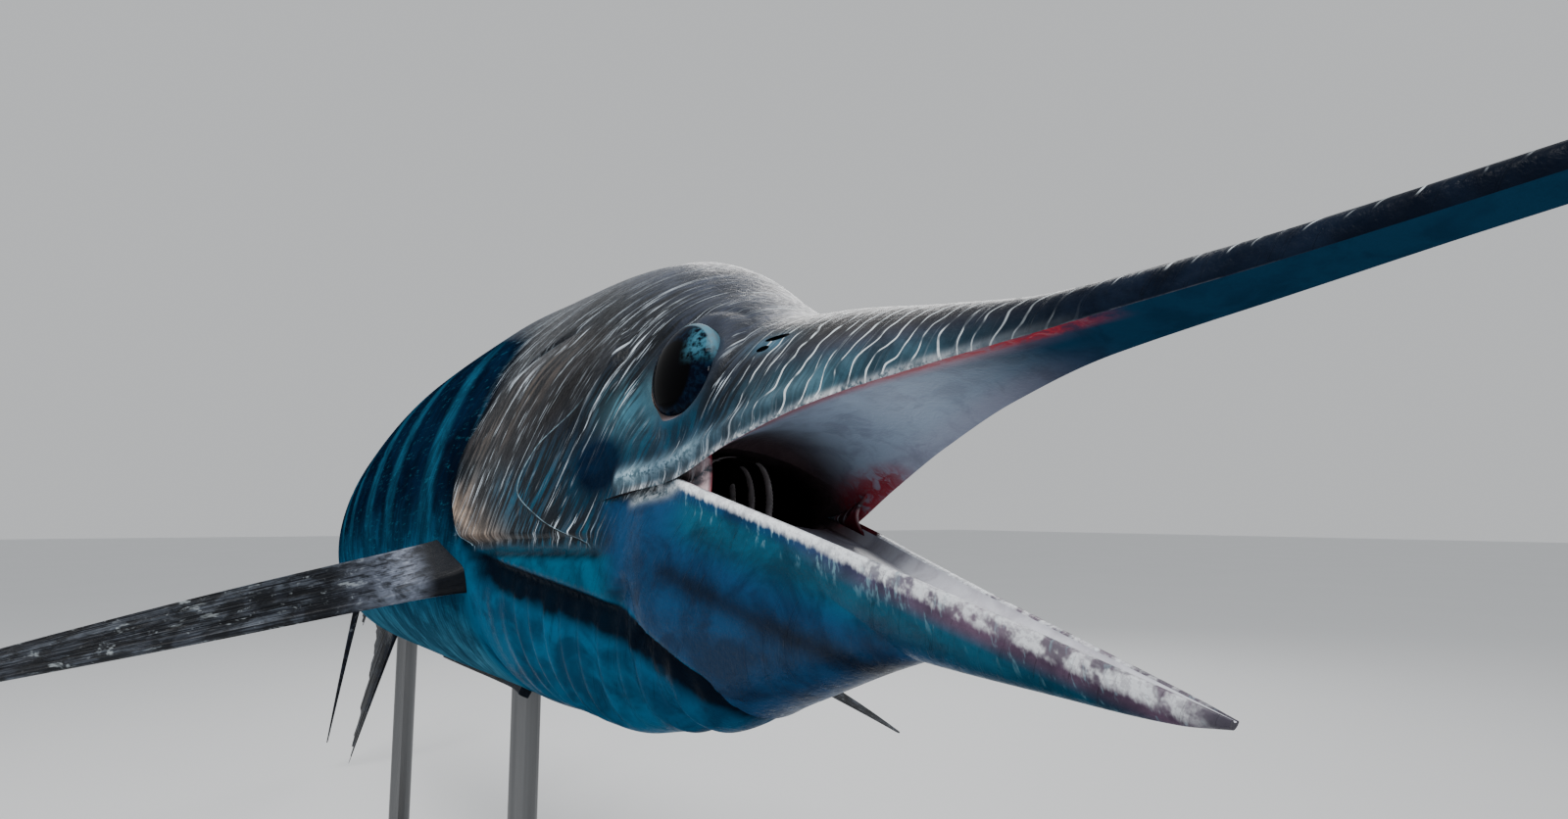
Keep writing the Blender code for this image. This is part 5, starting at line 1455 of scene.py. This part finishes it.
class Graph:
    """A small helper that builds the shader nodes of one material."""

    def __init__(self, name):
        self.material = bpy.data.materials.new(name)
        self.material.use_nodes = True
        self.tree = self.material.node_tree
        self.shader = self.tree.nodes["Principled BSDF"]

    def feed(self, socket, value):
        if isinstance(value, bpy.types.NodeSocket):
            self.tree.links.new(value, socket)
        elif isinstance(value, tuple) and len(value) == 3 and socket.type == "RGBA":
            socket.default_value = (*value, 1.0)
        else:
            socket.default_value = value

    def node(self, kind, settings, inputs):
        made = self.tree.nodes.new("ShaderNode" + kind)
        for key, value in settings.items():
            setattr(made, key, value)
        for key, value in inputs.items():
            self.feed(made.inputs[key], value)
        return made

    def math(self, operation, *values):
        return self.node("Math", {"operation": operation}, dict(enumerate(values))).outputs[0]

    def times(self, first, second):
        return self.math("MULTIPLY", first, second)

    def plus(self, first, second):
        return self.math("ADD", first, second)

    def rest(self, value):
        return self.math("SUBTRACT", 1.0, value)

    def attribute(self, name, output="Vector"):
        return self.node("Attribute", {"attribute_name": name}, {}).outputs[output]

    def number(self, name):
        return self.attribute(name, "Fac")

    def parts(self, vector):
        return self.node("SeparateXYZ", {}, {0: vector}).outputs

    def scaled(self, vector, factors):
        return self.node("VectorMath", {"operation": "MULTIPLY"}, {0: vector, 1: factors}).outputs[0]

    def noise(self, vector, scale, detail=2.0, rough=0.5, distortion=0.0):
        """Noise of one scale, or stretched by three factors along the axes of its vector."""
        if isinstance(scale, tuple):
            vector, scale = self.scaled(vector, scale), 1.0
        inputs = {"Vector": vector, "Scale": scale, "Detail": detail, "Roughness": rough}
        return self.node("TexNoise", {}, {**inputs, "Distortion": distortion}).outputs["Fac"]

    def step(self, value, start, end, low=0.0, high=1.0):
        """Smooth step from low at start to high at end."""
        inputs = {"Value": value, "From Min": start, "From Max": end, "To Min": low, "To Max": high}
        return self.node("MapRange", {"interpolation_type": "SMOOTHSTEP"}, inputs).outputs[0]

    def mix(self, share, low, high):
        made = self.node("Mix", {"data_type": "RGBA", "blend_type": "MIX"}, {})
        for socket, value in zip((made.inputs[0], made.inputs[6], made.inputs[7]), (share, low, high)):
            self.feed(socket, value)
        return made.outputs[2]

    def bump(self, height, distance):
        return self.node("Bump", {}, {"Height": height, "Distance": distance, "Strength": 1.0}).outputs[0]

    def done(self, **inputs):
        for key, value in inputs.items():
            self.feed(self.shader.inputs[key.replace("_", " ")], value)
        return self.material


# Noise of the skin: one scale or a stretch along three axes, then detail, roughness and distortion
BLOTCHES = (24.0, 4.0, 0.62, 0.5)
GRAIN = (190.0, 3.0, 0.6)
PATCHES = ((34.0, 9.0, 9.0), 3.0, 0.6, 0.4)
BUNDLES = ((110.0, 15.0, 15.0), 3.0, 0.6, 0.2)
CAUSTIC_STREAKS = ((470.0, 24.0, 24.0), 3.0, 0.55, 0.25)
DARK_STREAKS = ((230.0, 20.0, 20.0), 2.0, 0.6, 0.3)
SCALES = ((46.0, 260.0, 260.0), 3.0, 0.6, 0.4)
LINE_WANDER = (26.0, 2.0, 0.5)
LINE_GAPS = (60.0, 2.0, 0.5)
SPECKLES = (330.0, 3.0, 0.65)
WORN_SPOTS = (85.0, 3.0, 0.6)
RIM_FRINGE = ((230.0, 70.0, 70.0), 3.0, 0.65, 0.2)

# Tones that the materials lay on by themselves, among them painted caustic light, reflections and shadow
BLOTCH_SHADE = (0.22, 0.25, 0.30)
# Painted caustic light on the head
HEAD_CAUSTIC_LIGHT = (0.540, 0.620, 0.700)
TRUNK_FLECKS = (0.030, 0.170, 0.250)
# Painted caustic light on the snout, and painted reflection along the bill's top
SNOUT_CAUSTIC_LIGHT = (0.560, 0.620, 0.660)
WORN_LIP = (0.012, 0.040, 0.058)
WORN_RIM = (0.170, 0.150, 0.185)
FRINGE = (0.200, 0.400, 0.470)
PALE_BLOOD = (0.240, 0.070, 0.090)
LINING_SHADE = (0.45, 0.40, 0.44)
# Painted shadow at the root of the fins
FIN_ROOT_SHADOW = (0.003, 0.004, 0.007)
ARCH_PINK = (0.740, 0.680, 0.700)
WOOD = (0.060, 0.042, 0.030)
STEEL_GREY = (0.150, 0.153, 0.158)
IRIS = ((0.001, 0.002, 0.006), (0.002, 0.008, 0.020))
EYE_BRONZE = (0.120, 0.060, 0.040)
EYE_RING = (0.10, 0.16, 0.20)
# Painted reflection on the eye
EYE_REFLECTION_TEAL = (0.060, 0.200, 0.280)
PUPIL_BLACK = (0.0006, 0.0006, 0.001)
EYE_IOR = 1.09
# Web, rays and root of the fins
FIN_TONES = (NAVY, (0.012, 0.018, 0.034), (0.010, 0.020, 0.040))
PECTORAL_TONES = ((0.010, 0.012, 0.018), (0.085, 0.100, 0.125), (0.270, 0.310, 0.410))
# Height of the fine relief of skin, lining and fins
SKIN_RELIEF = 0.0006
LINING_RELIEF = 0.0010
FIN_RELIEF = 0.0008


def lay_streaks(g, colour, straight, flow):
    """Pale and dark streaks of the head, the pale ones painted caustic light, and pale flecks of the
    trunk, and how much they cover.
    """
    streak, trunk = g.number("streak"), g.number("trunk")
    patch, bundles = g.noise(flow, *PATCHES), g.noise(flow, *BUNDLES)
    dusky = g.times(g.step(patch, 0.53, 0.66), g.times(streak, g.rest(trunk)))
    colour = g.mix(g.times(dusky, 0.45), colour, DUSK)
    dark = g.step(g.noise(flow, *DARK_STREAKS), 0.43, 0.53)
    colour = g.mix(g.times(dark, g.times(streak, 0.95)), colour, JET)
    bunch = g.times(g.step(bundles, 0.45, 0.58, 0.0, 1.0), g.step(patch, 0.40, 0.56, 0.10, 1.0))
    # Painted caustic light: bundles of pale lines over the head
    lines = g.times(g.step(g.noise(flow, *CAUSTIC_STREAKS), 0.560, 0.605), bunch)
    scales = g.step(g.noise(straight, *SCALES), 0.55, 0.68)
    flecks = g.times(scales, g.step(bundles, 0.44, 0.62, 0.1, 0.7))
    over = g.plus(g.times(lines, g.rest(trunk)), g.times(flecks, trunk))
    tone = g.mix(trunk, HEAD_CAUSTIC_LIGHT, TRUNK_FLECKS)
    return g.mix(g.times(over, g.times(streak, 0.9)), colour, tone), over


def lay_snout_lines(g, colour, straight, flow):
    """Fine pale lines of painted caustic light that run down the snout, and of painted reflection along
    the upper edge of the bill.
    """
    turns = g.times(g.parts(flow)[0], 2 * math.pi / SNOUT_CAUSTIC_PITCH)
    phase = g.plus(turns, g.times(g.noise(straight, *LINE_WANDER), 16.0))
    gaps = g.step(g.noise(straight, *LINE_GAPS), 0.40, 0.56, 0.05, 1.0)
    lines = g.times(g.step(g.math("SINE", phase), 0.92, 0.996), g.times(g.number("snout"), gaps))
    return g.mix(lines, colour, SNOUT_CAUSTIC_LIGHT)


def lay_fold_shadow(g, colour, blotch, fold, fold_run):
    """Painted shadow: a dark band along the free edge of the throat membrane, with a ragged lower border.
    """
    ragged = g.plus(fold, g.times(g.math("SUBTRACT", blotch, 0.5), 0.035))
    band = g.times(g.step(fold, 0.0005, 0.0045), g.step(ragged, 0.036, 0.022))
    return g.mix(g.times(band, g.times(fold_run, 0.96)), colour, NAVY)


def lay_cover_lines(g, colour, straight, fine):
    """Fine lines along the edges of the gill cover."""
    rear_off, step_off, on_cover = g.parts(g.attribute("cover_edges"))
    low_down = g.step(g.parts(straight)[2], -0.004, -0.034)
    for offset, on_step, width, share, tone in COVER_LINES:
        near = g.math("ABSOLUTE", g.math("SUBTRACT", step_off if on_step else rear_off, offset))
        broken = g.step(fine, 0.36, 0.60, 0.35 * share, share)
        if on_step:
            broken = g.times(broken, low_down)
        line = g.times(g.step(near, width, width * 0.35), g.times(on_cover, broken))
        colour = g.mix(line, colour, tone)
    return colour


def lay_rims(g, colour, straight, speckle, rim_depth):
    """The worn pale edge of the upper lip, and the white, fringed rim of the lower jaw, whose white is
    partly a painted highlight on the rim's top.
    """
    on_rim = g.number("on_rim")
    coarse = g.noise(straight, *WORN_SPOTS)
    worn = g.math("MAXIMUM", g.step(speckle, 0.48, 0.60), g.step(coarse, 0.50, 0.64))
    colour = g.mix(g.times(g.number("white_rim"), g.times(worn, 0.85)), colour, WORN_LIP)
    fringe = g.noise(straight, *RIM_FRINGE)
    ragged = g.plus(rim_depth, g.times(g.math("SUBTRACT", fringe, 0.5), 0.007))
    under_rim = g.times(g.step(rim_depth, -0.018, -0.006), g.step(fringe, 0.54, 0.68, 0.0, 0.45))
    colour = g.mix(g.times(on_rim, under_rim), colour, FRINGE)
    # The jaw rim's white is partly its own pale colour and partly a painted highlight on its top
    bare = g.times(g.step(on_rim, 0.98, 0.70), g.step(coarse, 0.44, 0.60))
    rim = g.times(g.times(on_rim, g.step(ragged, -0.0034, 0.0014)), g.rest(g.times(bare, 0.85)))
    return g.mix(rim, colour, g.mix(g.times(worn, 0.38), WHITE, WORN_RIM))


def skin_material():
    """Wet skin: its stored colours under blotches, streaks and snout lines that are partly painted
    caustic light and reflection, the painted shadow along the throat's fold, cover lines, and pale rims,
    the jaw's partly a painted highlight.
    """
    g = Graph("marlin_skin")
    straight, flow, tint = g.attribute("straight"), g.attribute("flow"), g.attribute("tint")
    blotch, fine, speckle = (g.noise(straight, *kind) for kind in (BLOTCHES, GRAIN, SPECKLES))
    fold, fold_run, rim_depth = g.parts(g.attribute("folds"))
    colour = g.mix(g.step(blotch, 0.36, 0.64, 0.0, 0.75), tint, g.scaled(tint, BLOTCH_SHADE))
    colour, over = lay_streaks(g, colour, straight, flow)
    colour = lay_snout_lines(g, colour, straight, flow)
    colour = lay_fold_shadow(g, colour, blotch, fold, fold_run)
    colour = lay_cover_lines(g, colour, straight, fine)
    colour = lay_rims(g, colour, straight, speckle, rim_depth)
    normal = g.bump(g.plus(g.times(over, 0.6), g.plus(fine, g.times(speckle, 0.4))), SKIN_RELIEF)
    rough = g.step(fine, 0.3, 0.7, 0.26, 0.42)
    return g.done(Base_Color=colour, Roughness=rough, Normal=normal, Specular_IOR_Level=g.number("gloss"))


def lining_material():
    """Soft tissue of mouth, orbits and nostrils, with reddened tissue where the skin keeps it."""
    g = Graph("mouth_lining")
    straight, tint = g.attribute("straight"), g.attribute("lining")
    soft, grain = g.noise(straight, 45.0, 4.0, 0.6, 0.5), g.noise(straight, 420.0, 2.0, 0.6)
    colour = g.mix(g.step(soft, 0.42, 0.66, 0.0, 0.42), tint, g.scaled(tint, LINING_SHADE))
    torn = g.noise(straight, 95.0, 3.0, 0.65, 0.6)
    blood = g.times(g.number("blood"), g.step(torn, 0.34, 0.56, 0.25, 1.0))
    colour = g.mix(blood, colour, g.mix(g.step(torn, 0.50, 0.66), RED, PALE_BLOOD))
    normal = g.bump(g.plus(soft, g.times(grain, 0.3)), LINING_RELIEF)
    return g.done(Base_Color=colour, Roughness=0.34, Normal=normal, Specular_IOR_Level=g.number("wet"))


def fin_material(name, web, ray, root, mottled):
    """Rays paler than the web, mottled and specked along, a paler patch and a painted shadow at the root.
    """
    g = Graph(name)
    straight, place = g.attribute("straight"), g.attribute("place")
    along = g.noise(place, (60.0, 7.0, 1.0), 4.0, 0.65, 0.3)
    mottle = g.noise(straight, 42.0, 4.0, 0.65, 0.4)
    specks = g.noise(straight, (90.0, 60.0, 90.0), 3.0, 0.7, 0.6)
    colour = g.mix(g.step(along, 0.42, 0.64), web, ray)
    colour = g.mix(g.step(mottle, 0.42, 0.60, 0.85, 0.0), colour, tuple(0.3 * c for c in web))
    colour = g.mix(g.step(specks, 0.58, 0.70, 0.0, 0.55 * mottled), colour, PALE)
    out = g.parts(place)[1]
    patch = g.times(g.step(out, 0.26, 0.11), g.step(specks, 0.36, 0.62, 0.1, 0.6 * mottled))
    colour = g.mix(patch, colour, root)
    # Painted shadow at the fin's root, full on the pectorals
    colour = g.mix(g.step(out, 0.125, 0.070, 0.0, mottled), colour, FIN_ROOT_SHADOW)
    normal = g.bump(g.plus(along, mottle), FIN_RELIEF)
    gloss = 0.04 + 0.12 * mottled
    return g.done(Base_Color=colour, Roughness=0.36, Normal=normal, Specular_IOR_Level=gloss)


def eye_material():
    """An opaque wet eye: an oval black pupil, a dark blue iris with flecks, a painted teal reflection at
    its front and top, and a bronze rim.
    """
    g = Graph("marlin_eye")
    own = g.attribute("eye")
    x, z, _ = g.parts(own)
    off_x = g.math("DIVIDE", g.math("SUBTRACT", x, PUPIL[0]), PUPIL[2])
    off_z = g.math("DIVIDE", g.math("SUBTRACT", z, PUPIL[1]), PUPIL[3])
    pupil = g.math("SQRT", g.plus(g.times(off_x, off_x), g.times(off_z, off_z)))
    radius = g.math("SQRT", g.plus(g.times(x, x), g.times(z, z)))
    flecks = g.noise(own, 260.0, 3.0, 0.6)
    iris = g.mix(g.step(flecks, 0.42, 0.68), *IRIS)
    # Painted reflection: a speckled teal patch on the front and top of the eye
    front = g.times(g.step(x, 0.006, 0.020), g.step(z, -0.002, 0.014))
    patch = g.times(front, g.step(flecks, 0.34, 0.62))
    rear = g.times(g.step(x, -0.012, -0.030), g.step(radius, 0.026, 0.0335))
    iris = g.mix(rear, iris, EYE_BRONZE)
    ring = g.times(g.step(radius, 0.0318, 0.0335), g.step(z, 0.0, 0.020))
    iris = g.mix(ring, iris, EYE_RING)
    colour = g.mix(g.step(pupil, 0.90, 1.06), PUPIL_BLACK, iris)
    colour = g.mix(g.times(patch, 0.55), colour, EYE_REFLECTION_TEAL)
    return g.done(Base_Color=colour, Roughness=0.04, IOR=EYE_IOR)


def plain_material(name, colour, roughness, metallic=0.0, grain=0.0, scale=(1.0, 1.0, 1.0)):
    """One colour, with an optional darker grain stretched along an axis."""
    g = Graph(name)
    where = g.node("TexCoord", {}, {}).outputs["Object"]
    streaks = g.noise(where, scale, 4.0, 0.6, 0.3)
    tone = g.mix(g.step(streaks, 0.3, 0.7, 0.0, grain), colour, tuple(0.45 * c for c in colour))
    rough = g.step(streaks, 0.3, 0.7, roughness, roughness * 1.25)
    return g.done(Base_Color=tone, Roughness=rough, Metallic=metallic)


def camera_matrix():
    """Pose of the camera in the fish's own frame."""
    level_share = math.cos(CAMERA_RISE)
    forward, left = math.cos(CAMERA_AZIMUTH) * level_share, math.sin(CAMERA_AZIMUTH) * level_share
    ahead = Vector((forward, left, math.sin(CAMERA_RISE)))
    level = ahead.cross(Vector((0, 0, 1))).normalized()
    above = level.cross(ahead)
    right = math.cos(CAMERA_ROLL) * level + math.sin(CAMERA_ROLL) * above
    up = math.cos(CAMERA_ROLL) * above - math.sin(CAMERA_ROLL) * level
    turn = Matrix((right, up, -ahead)).transposed().to_4x4()
    return Matrix.Translation(CAMERA_AT) @ turn


def build_studio():
    """Camera, floor, world and lights."""
    scene = bpy.context.scene
    camera = bpy.data.objects.new("camera", bpy.data.cameras.new("camera"))
    camera.data.sensor_width = SENSOR
    camera.data.lens = SENSOR * CAMERA_FOCAL
    camera.data.clip_start = 0.01
    camera.matrix_world = ATTITUDE @ camera_matrix()
    scene.collection.objects.link(camera)
    scene.camera = camera
    half = FLOOR_SIZE / 2
    corners = [(-half, -half, 0), (half, -half, 0), (half, half, 0), (-half, half, 0)]
    mesh = bpy.data.meshes.new("floor")
    mesh.from_pydata(corners, [], [(0, 1, 2, 3)])
    floor = bpy.data.objects.new("floor", mesh)
    scene.collection.objects.link(floor)
    mesh.materials.append(plain_material("floor", FLOOR_GREY, 0.6))
    world = bpy.data.worlds.new("studio")
    world.use_nodes = True
    backdrop = world.node_tree.nodes["Background"]
    backdrop.inputs["Color"].default_value = BACKDROP
    backdrop.inputs["Strength"].default_value = BACKDROP_STRENGTH
    scene.world = world
    for name, place, size, power, colour in LIGHTS:
        light = bpy.data.lights.new(name, "AREA")
        light.size = size
        light.energy = power
        light.color = colour
        lamp = bpy.data.objects.new(name, light)
        lamp.location = place
        lamp.rotation_mode = "QUATERNION"
        lamp.rotation_quaternion = (Vector(LIGHT_AIM) - Vector(place)).to_track_quat("-Z", "Y")
        scene.collection.objects.link(lamp)


def dress(obj, materials, *nodes):
    """Give a piece its materials and let it stand for its nodes of the frame."""
    for index, material in enumerate(materials):
        if index < len(obj.data.materials):
            obj.data.materials[index] = material
        else:
            obj.data.materials.append(material)
    if nodes:
        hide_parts(*nodes)
    return obj


def build_fish():
    """Skin, fins, eyes and gill arches, each in its pose and with its materials."""
    skin = build_skin()
    paint_skin(skin.data)
    dress(finish_shape(skin), (skin_material(), lining_material()), *SKIN_NODES)
    fin = fin_material("marlin_fin", *FIN_TONES, 0.3)
    pectoral = fin_material("marlin_pectoral", *PECTORAL_TONES, 1.0)
    for name, shape in build_fins():
        dress(finish_shape(shape), (pectoral if name.startswith("pectoral") else fin,), name)
    eye = eye_material()
    for word, side in SIDES.items():
        dress(build_eye(f"eye_{word}_ball", side), (eye,), f"eye_{word}")
    flesh = plain_material("gill_arch", ARCH_PINK, 0.30, grain=0.4, scale=(160.0, 160.0, 160.0))
    for word, side in SIDES.items():
        for count, place in enumerate(ARCHES, 1):
            dress(finish_shape(gill_arch(f"gill_arch_{word}_{count}", side, *place)), (flesh,))


def dress_stand():
    """The stand keeps its shape and takes a dark oiled wood and brushed steel."""
    wood = plain_material("stand_wood", WOOD, 0.42, grain=0.75, scale=(3.0, 46.0, 46.0))
    steel = plain_material("stand_steel", STEEL_GREY, 0.36, 1.0, 0.15, (90.0, 90.0, 4.0))
    for name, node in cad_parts.items():
        if name.startswith("stand_"):
            for slot in range(len(node.data.materials)):
                node.data.materials[slot] = wood if name == "stand_base" else steel


build_fish()
dress_stand()
build_studio()
